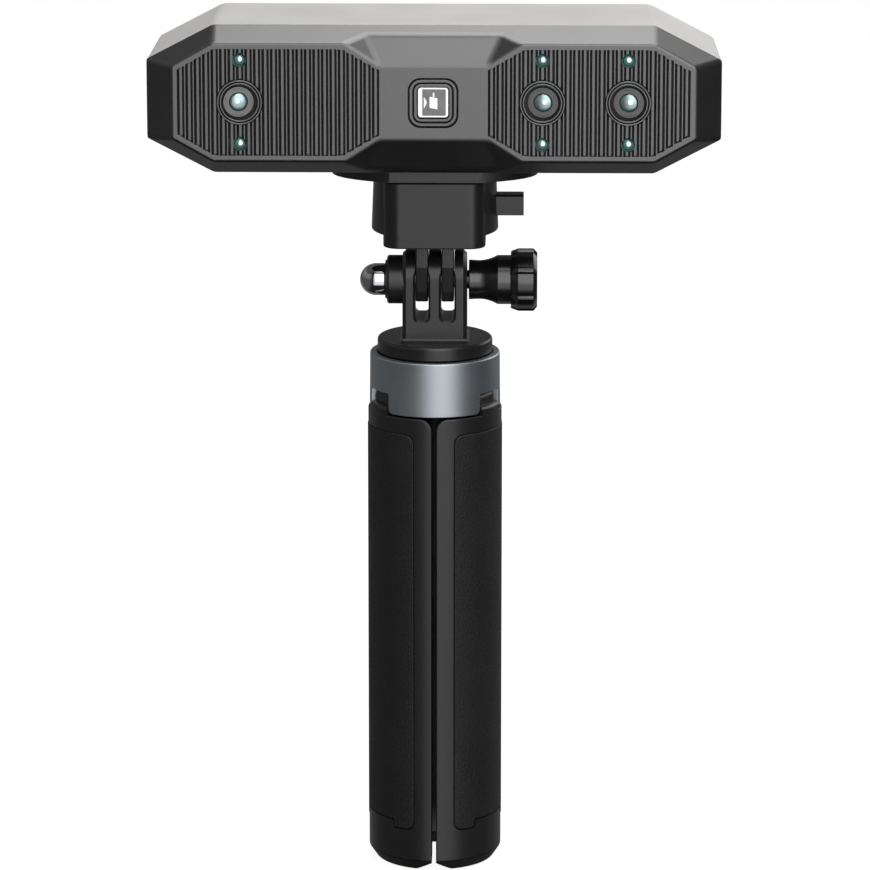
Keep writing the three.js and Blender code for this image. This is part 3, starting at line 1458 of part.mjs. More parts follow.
function projectorBezel() {
  const front = FACE_Y + BEZEL_SINK;
  const back = FACE_Y + PROJECTOR_RECESS_DEPTH;
  const sleeveSide = PROJECTOR_HOLE_SIDE - 2 * FIT;
  const corner = PROJECTOR_CORNER;
  const flange = squarePrism(PROJECTOR_RECESS_SIDE - 2 * FIT, corner - FIT, front, back);
  const sleeve = squarePrism(
    sleeveSide,
    corner - (PROJECTOR_RECESS_SIDE - sleeveSide) / 2,
    front,
    FRONT_WALL_Y,
  );
  const step = squarePrism(
    BEZEL_STEP_SIDE,
    corner - (PROJECTOR_RECESS_SIDE - BEZEL_STEP_SIDE) / 2,
    front - OVERRUN,
    front + BEZEL_STEP_DEPTH,
  );
  const opening = squarePrism(
    BEZEL_OPENING_SIDE,
    WINDOW_CORNER + (BEZEL_OPENING_SIDE - WINDOW_SIDE) / 2,
    front - OVERRUN,
    FRONT_WALL_Y + OVERRUN,
  );
  return cutBy(joined(flange, sleeve), step, opening);
}

const WINDOW_BACK = FRONT_WALL_Y;

const projectorWindow = () =>
  squarePrism(WINDOW_SIDE, WINDOW_CORNER, WINDOW_BACK - WINDOW_THICKNESS, WINDOW_BACK);

/** The projector's light engine, with a flange that rests on the inner frame. */
function projectorModule() {
  const front = FRONT_WALL_Y + FIT;
  const body = squarePrism(
    PROJECTOR_MODULE_SIDE,
    WINDOW_CORNER,
    front,
    front + PROJECTOR_MODULE_LENGTH,
  );
  const flangeFront = FRAME_BACK;
  const flange = squarePrism(
    PROJECTOR_FLANGE_SIDE,
    WINDOW_CORNER,
    flangeFront,
    flangeFront + PROJECTOR_FLANGE_THICKNESS,
  );
  return joined(body, flange);
}

/** The metal frame that ties the optics together and carries both halves of the housing. */
function opticsFrame() {
  const plate = prism(
    outline(octagon(FRAME_HALF_WIDTH, FRAME_HALF_HEIGHT, POST_RADIUS, POST_RADIUS)),
    "y",
    FRAME_FRONT,
    FRAME_BACK,
  );
  const posts = screwPlaces().map(([x, z]) =>
    rod(POST_RADIUS, "y", FRONT_WALL_Y, BACK_WALL_Y, x, z),
  );
  const screwEnd = BACK_Y - HOUSING_SCREW_SINK - HOUSING_SCREW_LENGTH;
  const screwHoles = screwPlaces().map(([x, z]) =>
    rod(HOUSING_SCREW_RADIUS + FIT, "y", screwEnd - FIT, BACK_WALL_Y + OVERRUN, x, z),
  );
  const barrelHoles = Object.values(CAMERA_PLACES).map((x) =>
    rod(BARREL_RADIUS + FIT, "y", FRAME_FRONT - OVERRUN, FRAME_BACK + OVERRUN, x, SCANNER_MIDDLE),
  );
  const projectorHole = squarePrism(
    PROJECTOR_MODULE_SIDE + 2 * FIT,
    WINDOW_CORNER,
    FRAME_FRONT - OVERRUN,
    FRAME_BACK + OVERRUN,
  );
  return cutBy(joined(plate, ...posts), ...screwHoles, ...barrelHoles, projectorHole);
}

const mainBoard = () =>
  block(
    -BOARD_HALF_WIDTH,
    BOARD_HALF_WIDTH,
    BOARD_FRONT,
    BOARD_BACK,
    SCANNER_MIDDLE - BOARD_HALF_HEIGHT,
    SCANNER_MIDDLE + BOARD_HALF_HEIGHT,
  );

/** The finned cooler on the board's front. */
function heatSink() {
  const base = BOARD_FRONT - HEAT_SINK_BASE;
  const tips = BOARD_FRONT - HEAT_SINK_HEIGHT;
  const points = [[-HEAT_SINK_HALF_WIDTH, BOARD_FRONT]];
  const pitch = (2 * HEAT_SINK_HALF_WIDTH - FIN_THICKNESS) / (FIN_COUNT - 1);
  for (let i = 0; i < FIN_COUNT; i++) {
    const left = -HEAT_SINK_HALF_WIDTH + i * pitch;
    const right = left + FIN_THICKNESS;
    if (i > 0) points.push([left, base]);
    points.push([left, tips], [right, tips]);
    if (i < FIN_COUNT - 1) points.push([right, base]);
  }
  points.push([HEAT_SINK_HALF_WIDTH, BOARD_FRONT]);
  return prism(
    outline(points),
    "z",
    SCANNER_MIDDLE - HEAT_SINK_HALF_HEIGHT,
    SCANNER_MIDDLE + HEAT_SINK_HALF_HEIGHT,
  );
}

/** The outline of the cable socket on the rear face. */
const socketOutline = (growth) =>
  roundedRectangle(
    SOCKET_WIDTH / 2 + growth,
    SOCKET_HEIGHT / 2 + growth,
    SOCKET_HEIGHT / 2 + growth - SOCKET_SHELL / 2,
    SQUARE_CORNER_STEPS,
    0,
    SCANNER_MIDDLE - SOCKET_DROP,
  );

function cableSocket() {
  const mouth = BACK_Y - SOCKET_SINK;
  const shell = prism(socketOutline(0), "y", BOARD_BACK, mouth);
  const hollow = prism(socketOutline(-SOCKET_SHELL), "y", mouth - SOCKET_DEPTH, mouth + OVERRUN);
  return cutBy(shell, hollow);
}

function scanButton() {
  const z = SCANNER_MIDDLE + SCAN_BUTTON_RISE;
  const face = BACK_Y - SCAN_BUTTON_SINK;
  const flangeBack = BACK_WALL_Y - FIT / 2;
  const flangeFront = flangeBack - SCAN_BUTTON_FLANGE_THICKNESS;
  const stemEnd = BOARD_BACK + SWITCH_HEIGHT + SCAN_BUTTON_TRAVEL + SLIP;
  return turned(
    [
      [0, face],
      [SCAN_BUTTON_RADIUS - SCAN_BUTTON_SINK, face],
      [SCAN_BUTTON_RADIUS, face - SCAN_BUTTON_SINK],
      [SCAN_BUTTON_RADIUS, flangeBack],
      [SCAN_BUTTON_RADIUS + SCAN_BUTTON_FLANGE, flangeBack],
      [SCAN_BUTTON_RADIUS + SCAN_BUTTON_FLANGE, flangeFront],
      [SCAN_BUTTON_STEM_RADIUS, flangeFront],
      [SCAN_BUTTON_STEM_RADIUS, stemEnd],
      [0, stemEnd],
    ],
    "y",
    SCAN_BUTTON_X,
    z,
  );
}

function buttonSwitch() {
  const z = SCANNER_MIDDLE + SCAN_BUTTON_RISE;
  const half = SWITCH_SIDE / 2;
  return block(
    SCAN_BUTTON_X - half,
    SCAN_BUTTON_X + half,
    BOARD_BACK,
    BOARD_BACK + SWITCH_HEIGHT,
    z - half,
    z + half,
  );
}

/** A housing screw: a slotted head sunk in the rear face, and a shank that bites into a post. */
function housingScrew(x, z) {
  const top = BACK_Y - HOUSING_SCREW_SINK;
  const under = top - HOUSING_SCREW_HEAD_HEIGHT;
  const head = rod(HOUSING_SCREW_HEAD_RADIUS, "y", under, top, x, z);
  const shank = rod(HOUSING_SCREW_RADIUS, "y", top - HOUSING_SCREW_LENGTH, under, x, z);
  const half = HOUSING_SCREW_SLOT / 2;
  const slot = block(
    x - HOUSING_SCREW_HEAD_RADIUS - OVERRUN,
    x + HOUSING_SCREW_HEAD_RADIUS + OVERRUN,
    top - half,
    top + OVERRUN,
    z - half,
    z + half,
  );
  return cutBy(joined(head, shank), slot);
}

function addScanner() {
  addPiece(root, "front_housing", frontHousing(), DARK_HOUSING);
  addPiece(root, "rear_shell", rearShell(), SILVER_SHELL);
  addPiece(root, "optics_frame", opticsFrame(), ALUMINIUM);
  for (const [place, x] of Object.entries(CAMERA_PLACES)) {
    addPiece(root, `camera_barrel_${place}`, cameraBarrel(x), BLACK_PLASTIC);
    addPiece(root, `camera_holder_${place}`, cameraHolder(x), BLACK_PLASTIC);
    addPiece(root, `camera_lens_${place}`, cameraLens(x), LENS_GLASS);
    addPiece(root, `lamp_${place}_top`, lamp(x, SCANNER_MIDDLE + LAMP_OFFSET), LAMP_RESIN);
    addPiece(root, `lamp_${place}_bottom`, lamp(x, SCANNER_MIDDLE - LAMP_OFFSET), LAMP_RESIN);
  }
  addPiece(root, "projector_bezel", projectorBezel(), BLACK_PLASTIC);
  addPiece(root, "projector_window", projectorWindow(), LENS_GLASS);
  addPiece(root, "projector_module", projectorModule(), ALUMINIUM);
  addPiece(root, "main_board", mainBoard(), CIRCUIT_GREEN);
  addPiece(root, "heat_sink", heatSink(), ALUMINIUM);
  addPiece(root, "cable_socket", cableSocket(), STEEL);
  addPiece(root, "button_switch", buttonSwitch(), BLACK_PLASTIC);
  addPiece(root, "scan_button", scanButton(), BLACK_PLASTIC);
  screwPlaces().forEach(([x, z], i) => {
    addPiece(root, `housing_screw_${i + 1}`, housingScrew(x, z), STEEL);
  });
}

addLegs();
addCollar();
addHead();
addKnob();
addAdapter();
addScanner();

export default root;
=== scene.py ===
# %% [markdown]
# # A handheld scanner on a folding grip
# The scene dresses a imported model: each body of the model already stands in its place and carries its
# joints. The pieces below give the visible surfaces their real curves, edges and finishes. All lengths
# are written in millimetres and turned into metres in one place. +Z is up, and the scanner's lenses look
# along -Y.

# %% Load the frame
import json
import math

import bmesh
import bpy
import numpy as np
from mathutils import Matrix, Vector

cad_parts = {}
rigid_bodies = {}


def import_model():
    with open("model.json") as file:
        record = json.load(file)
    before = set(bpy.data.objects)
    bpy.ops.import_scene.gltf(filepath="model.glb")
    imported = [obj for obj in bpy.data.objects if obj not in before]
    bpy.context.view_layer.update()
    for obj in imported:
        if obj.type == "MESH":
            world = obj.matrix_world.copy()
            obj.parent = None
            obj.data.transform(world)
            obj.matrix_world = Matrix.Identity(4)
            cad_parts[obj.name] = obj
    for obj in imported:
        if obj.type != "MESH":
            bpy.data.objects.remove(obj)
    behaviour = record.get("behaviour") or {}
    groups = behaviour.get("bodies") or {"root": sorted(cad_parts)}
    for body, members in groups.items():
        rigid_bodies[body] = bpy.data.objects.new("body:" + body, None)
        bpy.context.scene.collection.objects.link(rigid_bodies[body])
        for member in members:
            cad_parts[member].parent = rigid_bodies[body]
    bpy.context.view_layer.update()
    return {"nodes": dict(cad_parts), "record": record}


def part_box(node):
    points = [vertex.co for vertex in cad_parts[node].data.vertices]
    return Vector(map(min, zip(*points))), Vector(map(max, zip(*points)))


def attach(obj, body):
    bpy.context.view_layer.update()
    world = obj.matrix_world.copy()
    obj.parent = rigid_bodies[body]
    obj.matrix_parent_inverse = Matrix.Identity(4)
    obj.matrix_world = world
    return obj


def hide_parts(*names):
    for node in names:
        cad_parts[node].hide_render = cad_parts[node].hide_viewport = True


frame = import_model()
nodes = frame["nodes"]

# %% [markdown]
# ## Camera
# The photograph was taken from far away with a long lens, a little above the object and looking down at
# it. A fit of the object's outlines gave the pitch, the distance and the lens. The slots of the tilt head
# show a little of their left walls, and the shell's back edge lies slightly to the right, so the camera
# also stands one degree to the right. The camera is written as those numbers and the point that it looks
# at.

# %% Camera
MM = 0.001
CAMERA_PITCH, CAMERA_TURN = math.radians(13.8), math.radians(1.0)
CAMERA_DISTANCE, CAMERA_AIM_HEIGHT, CAMERA_LENS = 1523, 124.9, 220.55


def placed(name, data):
    """An object for some data, linked to the scene."""
    made = bpy.data.objects.new(name, data)
    bpy.context.scene.collection.objects.link(made)
    return made


camera_data = bpy.data.cameras.new("camera")
camera_data.lens, camera_data.sensor_width = CAMERA_LENS, 36
camera_data.clip_start, camera_data.clip_end = 0.05, 30
camera = placed("camera", camera_data)
camera.location = (
    CAMERA_DISTANCE * math.cos(CAMERA_PITCH) * math.sin(CAMERA_TURN) * MM,
    -CAMERA_DISTANCE * math.cos(CAMERA_PITCH) * math.cos(CAMERA_TURN) * MM,
    (CAMERA_AIM_HEIGHT + CAMERA_DISTANCE * math.sin(CAMERA_PITCH)) * MM,
)
camera.rotation_euler = (math.pi / 2 - CAMERA_PITCH, 0, CAMERA_TURN)
bpy.context.scene.camera = camera
print("camera at", [round(c, 4) for c in camera.location])

# %% [markdown]
# ## Grids, outlines and meshes
# Nearly every surface here is a grid: rows of points, each row a closed loop, joined by four-sided faces.
# A turned piece is a profile that goes round an axis, and a loft is one outline at each of several
# heights. An outline is a list of corners, each with the radius that rounds it. These few helpers make
# them all, so that a piece's own cell holds only its own numbers.

# %% Grid and outline helpers


def grid_faces(rows, columns, wrap=True):
    """Quads of a grid: each joins a point, the next one in its row, and the two points of the next row."""
    across = columns if wrap else columns - 1
    row, column = np.meshgrid(np.arange(rows - 1), np.arange(across), indexing="ij")
    after = (column + 1) % columns
    low, high = row * columns, (row + 1) * columns
    return np.stack([low + column, low + after, high + after, high + column], -1).reshape(-1, 4)


def quarter(count):
    """Evenly spaced angles over a quarter of a turn."""
    return np.linspace(0, np.pi / 2, count)


def round_drop(past, radius):
    """How far a round corner has fallen once it is past its start: radius less the height of its arc."""
    inside = np.clip(past, 0, radius)
    return radius - np.sqrt(radius**2 - inside**2)


def smooth_step(share):
    """From 0 to 1 with level ends: three times the square of the share less twice its cube."""
    share = np.clip(share, 0, 1)
    return share * share * (3 - 2 * share)


def rounded(corners, steps=6):
    """A closed outline from (a, b, radius) corners; an arc that touches both sides replaces a round one."""
    spots = np.array(corners, float)
    pieces = []
    for i, (a, b, radius) in enumerate(corners):
        here = spots[i, :2]
        if radius == 0:
            pieces.append(here[None])
            continue
        before = spots[i - 1, :2] - here
        after = spots[(i + 1) % len(spots), :2] - here
        before, after = before / np.hypot(*before), after / np.hypot(*after)
        half = np.arccos(np.clip(before @ after, -1, 1)) / 2
        inward = (before + after) / np.hypot(*(before + after))
        centre = here + inward * radius / np.sin(half)
        first = here + before * radius / np.tan(half) - centre
        last = here + after * radius / np.tan(half) - centre
        start = np.arctan2(first[1], first[0])
        sweep = (np.arctan2(last[1], last[0]) - start + np.pi) % (2 * np.pi) - np.pi
        angle = start + sweep * np.linspace(0, 1, steps + 1)
        pieces.append(centre + radius * np.stack([np.cos(angle), np.sin(angle)], -1))
    return np.vstack(pieces)


def round_box(half_a, half_b, corner, centre=(0, 0), steps=6):
    """A rectangle about a centre, by its half sizes, with four round corners."""
    signs = ((1, 1), (-1, 1), (-1, -1), (1, -1))
    return rounded([(centre[0] + a * half_a, centre[1] + b * half_b, corner) for a, b in signs], steps)


print("a round square has", len(round_box(1, 1, 0.2)), "points")

# %% [markdown]
# An outline or a profile becomes a surface in one of two ways. It is turned about an axis, or it is carried
# along one and drawn in a little near its ends, which breaks the edges there without a bevel.

# %% Turning and carrying


def on_axis(axis, place, first, second):
    """Points whose place lies along one axis and whose other two values lie along the other axes."""
    order = {"x": (place, first, second), "y": (first, place, second), "z": (first, second, place)}
    return np.stack(order[axis], -1)


def turned(profile, axis, centre=(0, 0), steps=96):
    """A turned surface: each (radius, place) of the profile goes round an axis through the centre."""
    profile = np.array(profile, float)
    angle = np.arange(steps) * 2 * np.pi / steps
    first = centre[0] + profile[:, :1] * np.cos(angle)
    second = centre[1] + profile[:, :1] * np.sin(angle)
    return on_axis(axis, np.repeat(profile[:, 1:], steps, axis=1), first, second)


def carried(outline, axis, places, insets=None):
    """An outline carried along an axis; at each place it is drawn in by an inset towards its middle."""
    outline = np.array(outline, float)
    places = np.array(places, float)
    insets = np.zeros(len(places)) if insets is None else np.array(insets, float)
    sides = np.roll(outline, -1, 0) - np.roll(outline, 1, 0)
    normals = np.stack([sides[:, 1], -sides[:, 0]], -1) / np.hypot(*sides.T)[:, None]
    ahead = np.roll(outline, -1, 0)
    if np.sum(outline[:, 0] * ahead[:, 1] - outline[:, 1] * ahead[:, 0]) < 0:
        normals = -normals
    flat = outline[None] - normals[None] * insets[:, None, None]
    return on_axis(axis, np.repeat(places[:, None], len(outline), axis=1), flat[..., 0], flat[..., 1])


print("a turned ring has", turned([(1, 0), (2, 0), (2, 1)], "z").shape, "rows, columns and coordinates")

# %% [markdown]
# A grid becomes a mesh once its points are scaled to metres. Points that fall together, at a pole or a
# seam, are merged, and then the faces are all turned outwards.

# %% Mesh helpers


def raw_object(name, points, faces):
    """An object from points in millimetres and faces, merged, closed and facing outwards."""
    mesh = bpy.data.meshes.new(name)
    flat = np.asarray(points, float).reshape(-1, 3) * MM
    mesh.from_pydata(flat.tolist(), [], [list(map(int, face)) for face in faces])
    shape = bmesh.new()
    shape.from_mesh(mesh)
    bmesh.ops.remove_doubles(shape, verts=shape.verts, dist=2e-6)
    bmesh.ops.recalc_face_normals(shape, faces=shape.faces)
    shape.to_mesh(mesh)
    shape.free()
    return placed(name, mesh)


def solid(name, rows, ends=True):
    """A closed piece from rows of looped points; flat faces close the two ends where they are open."""
    rows = np.asarray(rows, float)
    count, columns = rows.shape[:2]
    faces = grid_faces(count, columns).tolist()
    if ends:
        last = (count - 1) * columns
        faces += [list(range(columns))[::-1], list(range(last, last + columns))]
    return raw_object(name, rows, faces)


def lathe(name, profile, axis, centre=(0, 0), steps=96):
    """A turned piece; a profile that ends on the axis closes itself, and one that doesn't is a ring."""
    profile = np.array(profile, float)
    if profile[0, 0] > 0:
        profile = np.vstack([profile, profile[:1]])
    return solid(name, turned(profile, axis, centre, steps), ends=False)


def rod(radius, low, high, axis, centre=(0, 0), steps=36):
    """A round rod between two places along an axis. Most of the holes here are cut with one."""
    return lathe("rod", [(0, low), (radius, low), (radius, high), (0, high)], axis, centre, steps)


def block(x0, x1, y0, y1, z0, z1):
    """A four-sided block between two corners, which cuts square holes."""
    return solid("block", carried([(x1, y1), (x0, y1), (x0, y0), (x1, y0)], "z", [z0, z1]))


print("mesh helpers ready")

# %% [markdown]
# Cuts and joins of whole pieces use the Boolean modifier, applied at once, and the tool that did the
# cutting is thrown away. Bevels are applied too, so that every finished piece is a plain mesh. Where the
# model's own solid is good enough, its loose triangles are copied, merged and given softer edges.

# %% Cuts, bevels and copies


def applied(piece):
    """The piece with its modifiers made part of its mesh."""
    graph = bpy.context.evaluated_depsgraph_get()
    made = bpy.data.meshes.new_from_object(piece.evaluated_get(graph))
    piece.modifiers.clear()
    old, piece.data = piece.data, made
    bpy.data.meshes.remove(old)
    return piece


def carved(piece, *cutters, operation="DIFFERENCE"):
    """The piece after each cutter is taken away from it, or joined to it. The cutters are thrown away."""
    for cutter in cutters:
        step = piece.modifiers.new("carve", "BOOLEAN")
        step.object, step.operation, step.solver = cutter, operation, "EXACT"
        applied(piece)
        bpy.data.objects.remove(cutter)
    return piece


def softened(piece, width, angle, segments):
    """The piece with a bevel, its width in millimetres, on every edge sharper than an angle."""
    edge = piece.modifiers.new("soft_edge", "BEVEL")
    edge.width, edge.segments = width * MM, segments
    edge.limit_method, edge.angle_limit = "ANGLE", math.radians(angle)
    edge.use_clamp_overlap, edge.miter_outer = True, "MITER_ARC"
    return applied(piece)


def merged(mesh, angle):
    """The mesh with points that fall together merged, and flat areas, by an angle, made single faces."""
    shape = bmesh.new()
    shape.from_mesh(mesh)
    bmesh.ops.remove_doubles(shape, verts=shape.verts, dist=1e-6)
    bmesh.ops.dissolve_limit(shape, angle_limit=math.radians(angle), verts=shape.verts, edges=shape.edges)
    shape.to_mesh(mesh)
    shape.free()


def copy_of(node, name):
    """A merged copy of a node's loose triangles."""
    mesh = nodes[node].data.copy()
    merged(mesh, 0.5)
    mesh.materials.clear()
    return placed(name, mesh)


def corners_of(node):
    """The low and the high corner of a node's box, in millimetres."""
    return [[c / MM for c in corner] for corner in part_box(node)]


def middle_of(node):
    """The middle of a node's box, in millimetres."""
    return [(low + high) / 2 / MM for low, high in zip(*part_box(node))]


print("helpers for cuts, bevels and copies ready")

# %% [markdown]
# A piece is finished when it is smooth shaded, has its material, rides on its body and, where it stands
# for a node of the model, replaces that node. Edges past a certain angle stay crisp, and a weighted
# normal keeps the large flat faces flat where small bevels meet them.

# %% Finishing a piece
SHARP_ANGLE = math.radians(32)


def finished(piece, body, finish, replaced=()):
    """Smooth shading with crisp corners, the finish, and the body that the piece rides on."""
    piece.data.shade_smooth()
    piece.data.set_sharp_from_angle(angle=SHARP_ANGLE)
    flat_first = piece.modifiers.new("flat_first", "WEIGHTED_NORMAL")
    flat_first.keep_sharp = True
    piece.data.materials.clear()
    piece.data.materials.append(finishes[finish])
    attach(piece, body)
    if replaced:
        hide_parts(*replaced)
    print(piece.name, len(piece.data.polygons), "faces")


print("edges sharper than", round(math.degrees(SHARP_ANGLE)), "degrees stay crisp")

# %% [markdown]
# ## Finishes
# Materials here are built from a handful of shader nodes, and each helper adds one node and returns its
# result, so that a material reads like a formula. An input may be a plain number or another node's
# result.

# %% Node helpers


def feed(tree, socket, given):
    """Link what gives a value to a socket, or write a plain number or colour on it."""
    if isinstance(given, bpy.types.NodeSocket):
        tree.links.new(given, socket)
    else:
        socket.default_value = given


def maths(tree, operation, first, second=0.0):
    """A Math node's result."""
    node = tree.nodes.new("ShaderNodeMath")
    node.operation = operation
    feed(tree, node.inputs[0], first)
    feed(tree, node.inputs[1], second)
    return node.outputs[0]


def times(tree, first, second):
    """The product of two values."""
    return maths(tree, "MULTIPLY", first, second)


def noise(tree, place, scale, detail=2.0, roughness=0.5):
    """A noise texture of some scale over a place."""
    node = tree.nodes.new("ShaderNodeTexNoise")
    for label, given in (("Vector", place), ("Scale", scale), ("Detail", detail), ("Roughness", roughness)):
        feed(tree, node.inputs[label], given)
    return node.outputs["Fac"]


def spread(tree, value, low, high, to_low, to_high):
    """A value remapped from one range to another, and held at its ends."""
    node = tree.nodes.new("ShaderNodeMapRange")
    labels = ("Value", "From Min", "From Max", "To Min", "To Max")
    for label, given in zip(labels, (value, low, high, to_low, to_high)):
        feed(tree, node.inputs[label], given)
    return node.outputs["Result"]


def blended(tree, factor, first, second):
    """A colour between two colours."""
    node = tree.nodes.new("ShaderNodeMix")
    node.data_type = "RGBA"
    feed(tree, node.inputs["Factor"], factor)
    feed(tree, node.inputs[6], first)
    feed(tree, node.inputs[7], second)
    return node.outputs[2]


print("node helpers ready")

# %% [markdown]
# Moulded plastic is never one flat colour: its mould leaves a fine grain, and handling leaves patches
# that are a little smoother or duller. Both come from noise on Object coordinates, so they stay fixed to
# the piece. One group makes them for every plastic, rubber and paint here, and for the blasted metal of
# the collar. It takes the sizes of grain and patches and the two colours and two roughnesses between
# which the patches move, and gives back a colour, a roughness and a height.

# %% Grain and patches as a node group
COLOUR, VALUE, VECTOR = "NodeSocketColor", "NodeSocketFloat", "NodeSocketVector"
LOW_NOISE, HIGH_NOISE = 0.3, 0.7


def surface_group(name, sizes=()):
    """An empty group: place, sizes, two colours and two roughnesses in; colour, roughness, height out."""
    group = bpy.data.node_groups.new(name, "ShaderNodeTree")
    inputs = [("Place", VECTOR, (0, 0, 0)), *[(label, VALUE, value) for label, value in sizes]]
    inputs += [(f"{label} Color", COLOUR, (0.02, 0.02, 0.02, 1)) for label in ("First", "Second")]
    inputs += [("Smooth", VALUE, 0.3), ("Dull", VALUE, 0.45)]
    for label, kind, value in inputs:
        socket = group.interface.new_socket(name=label, in_out="INPUT", socket_type=kind)
        socket.default_value = value
    for label, kind in (("Color", COLOUR), ("Roughness", VALUE), ("Height", VALUE)):
        group.interface.new_socket(name=label, in_out="OUTPUT", socket_type=kind)
    return group, group.nodes.new("NodeGroupInput").outputs, group.nodes.new("NodeGroupOutput").inputs


def close_group(group, given, result, mix, patch, height):
    """The group's outputs: the mix picks the colour, the patches pick the roughness."""
    group.links.new(blended(group, mix, given["First Color"], given["Second Color"]), result["Color"])
    dullness = spread(group, patch, LOW_NOISE, HIGH_NOISE, given["Smooth"], given["Dull"])
    group.links.new(dullness, result["Roughness"])
    group.links.new(height, result["Height"])
    print("group:", group.name)


grain_and_patches = [("Grain Scale", 2500), ("Patch Scale", 55)]
moulded_surface, given, result = surface_group("moulded_surface", grain_and_patches)
grain = noise(moulded_surface, given["Place"], given["Grain Scale"], 3, 0.6)
patch = noise(moulded_surface, given["Place"], given["Patch Scale"], 4, 0.55)
grain_share, patch_share = times(moulded_surface, grain, 0.45), times(moulded_surface, patch, 0.55)
both = maths(moulded_surface, "ADD", grain_share, patch_share)
mixed = spread(moulded_surface, both, LOW_NOISE, HIGH_NOISE, 0, 1)
close_group(moulded_surface, given, result, mixed, patch, grain)

# %% [markdown]
# Machined and brushed metal carries fine lines that run round the axis on which it was turned. Noise does
# this when it is stretched: very fine along the axis, and coarse across it. The group is given the
# stretched place, and gives back a roughness that changes from line to line and a height for the bump.

# %% Turned lines as a node group
turned_lines, given, result = surface_group("turned_lines")
lines = noise(turned_lines, given["Place"], 1, 3, 0.7)
close_group(turned_lines, given, result, lines, lines, lines)

# %% [markdown]
# Each finish is a material of its own that places one of the groups and sets what is the same all over,
# such as the gloss level, straight on the shader. The black parts are low in gloss level: their plastic
# is dull and dark, and only the flat areas that face the low front light look grey. The dark housing has
# a paint with metal in it, so it is nearly a metal here and mirrors the studio softly.

# %% Make the finishes
finishes = {}


def new_finish(name, **fixed):
    """A material with its shader and Object coordinates; fixed values go on the shader's own sockets."""
    material = bpy.data.materials.new(name)
    material.use_nodes = True
    tree = material.node_tree
    shader = tree.nodes["Principled BSDF"]
    for label, value in fixed.items():
        shader.inputs[label.replace("_", " ")].default_value = value
    finishes[name] = material
    return tree, shader, tree.nodes.new("ShaderNodeTexCoord").outputs["Object"]


def laid_on(tree, shader, group, place, depth, **given):
    """A surface group placed in a material; its height, in millimetres at full range, makes the bumps."""
    surface = tree.nodes.new("ShaderNodeGroup")
    surface.node_tree = group
    tree.links.new(place, surface.inputs["Place"])
    for label, value in given.items():
        surface.inputs[label.replace("_", " ")].default_value = value
    bump = tree.nodes.new("ShaderNodeBump")
    bump.inputs["Distance"].default_value = depth * MM
    tree.links.new(surface.outputs["Height"], bump.inputs["Height"])
    tree.links.new(surface.outputs["Color"], shader.inputs["Base Color"])
    tree.links.new(surface.outputs["Roughness"], shader.inputs["Roughness"])
    tree.links.new(bump.outputs["Normal"], shader.inputs["Normal"])


def moulded(name, first, second, smooth, dull, grain_size, depth, **fixed):
    """A plastic, rubber, paint or blasted finish, with the size and depth of its grain in millimetres."""
    tree, shader, place = new_finish(name, **fixed)
    scales = {"Grain_Scale": 1 / (grain_size * MM), "Patch_Scale": 1 / (PATCH_SIZE * MM)}
    ends = {"First_Color": (*first, 1), "Second_Color": (*second, 1), "Smooth": smooth, "Dull": dull}
    laid_on(tree, shader, moulded_surface, place, depth, **scales, **ends)


def machined(name, first, second, smooth, dull, stretch, depth=0.004):
    """A metal finish with turned lines; stretch is the number of lines a millimetre on X, Y and Z."""
    tree, shader, place = new_finish(name, Metallic=1.0)
    mapping = tree.nodes.new("ShaderNodeMapping")
    mapping.inputs["Scale"].default_value = [lines / MM for lines in stretch]
    tree.links.new(place, mapping.inputs["Vector"])
    ends = {"First_Color": (*first, 1), "Second_Color": (*second, 1), "Smooth": smooth, "Dull": dull}
    laid_on(tree, shader, turned_lines, mapping.outputs["Vector"], depth, **ends)


print("helpers for finishes ready")

# %% [markdown]
# The numbers of a finish are its two colours, its smooth and its dull roughness, and then its grain. The
# colours were set beside the photograph, one surface after the other, until each rendered as pale or as
# dark as it is there.

# %% Plastics and metals
PATCH_SIZE = 18
DULL, GLOSSY = {"Specular_IOR_Level": 0.6}, {"Specular_IOR_Level": 0.9}
METAL, PAINT = {"Metallic": 1.0}, {"Metallic": 0.92}
moulded("silver_shell", (0.60, 0.59, 0.58), (0.66, 0.65, 0.64), 0.34, 0.42, 0.3, 0.004)
moulded("dark_housing", (0.135, 0.135, 0.136), (0.15, 0.15, 0.151), 0.31, 0.36, 0.35, 0.005, **PAINT)
moulded("black_plastic", (0.017, 0.017, 0.0173), (0.022, 0.022, 0.0223), 0.31, 0.38, 0.45, 0.006, **DULL)
moulded("gloss_black", (0.008, 0.008, 0.0085), (0.011, 0.011, 0.0115), 0.2, 0.26, 0.5, 0.003, **GLOSSY)
moulded("grip_rubber", (0.009, 0.0092, 0.0094), (0.017, 0.0172, 0.0175), 0.5, 0.65, 0.6, 0.26)
moulded("circuit_green", (0.01, 0.09, 0.035), (0.015, 0.12, 0.05), 0.35, 0.5, 0.8, 0.01)
moulded("collar_metal", (0.43, 0.47, 0.505), (0.49, 0.535, 0.57), 0.4, 0.46, 0.3, 0.02, **METAL)
machined("steel", (0.45, 0.46, 0.47), (0.55, 0.56, 0.57), 0.25, 0.4, (6, 0.3, 0.3))
machined("aluminium", (0.55, 0.56, 0.58), (0.65, 0.66, 0.68), 0.35, 0.5, (0.3, 0.3, 5))
machined("chrome", (0.6, 0.6, 0.62), (0.68, 0.68, 0.7), 0.05, 0.1, (2, 0.2, 0.2), 0.001)
print("finishes:", sorted(finishes))

# %% [markdown]
# The camera lenses are coated glass: the coating throws back a pale blue-green, and the edge, where the
# light comes in at a slant, turns green. A coating mirrors more than it lets through, so the lenses and
# the projector's pane are written as tinted metal. The lamps are domes of teal resin under a clear coat,
# whose small, hard highlight makes them look wet. The bright spots in the lenses and lamps and the bright
# marks in the window are painted highlights: small plates that all share one polished mirror finish.

# %% Lens, lamp and window finishes
SWIRL_SIZE, SWIRL_SHARE = 1.2, 0.25


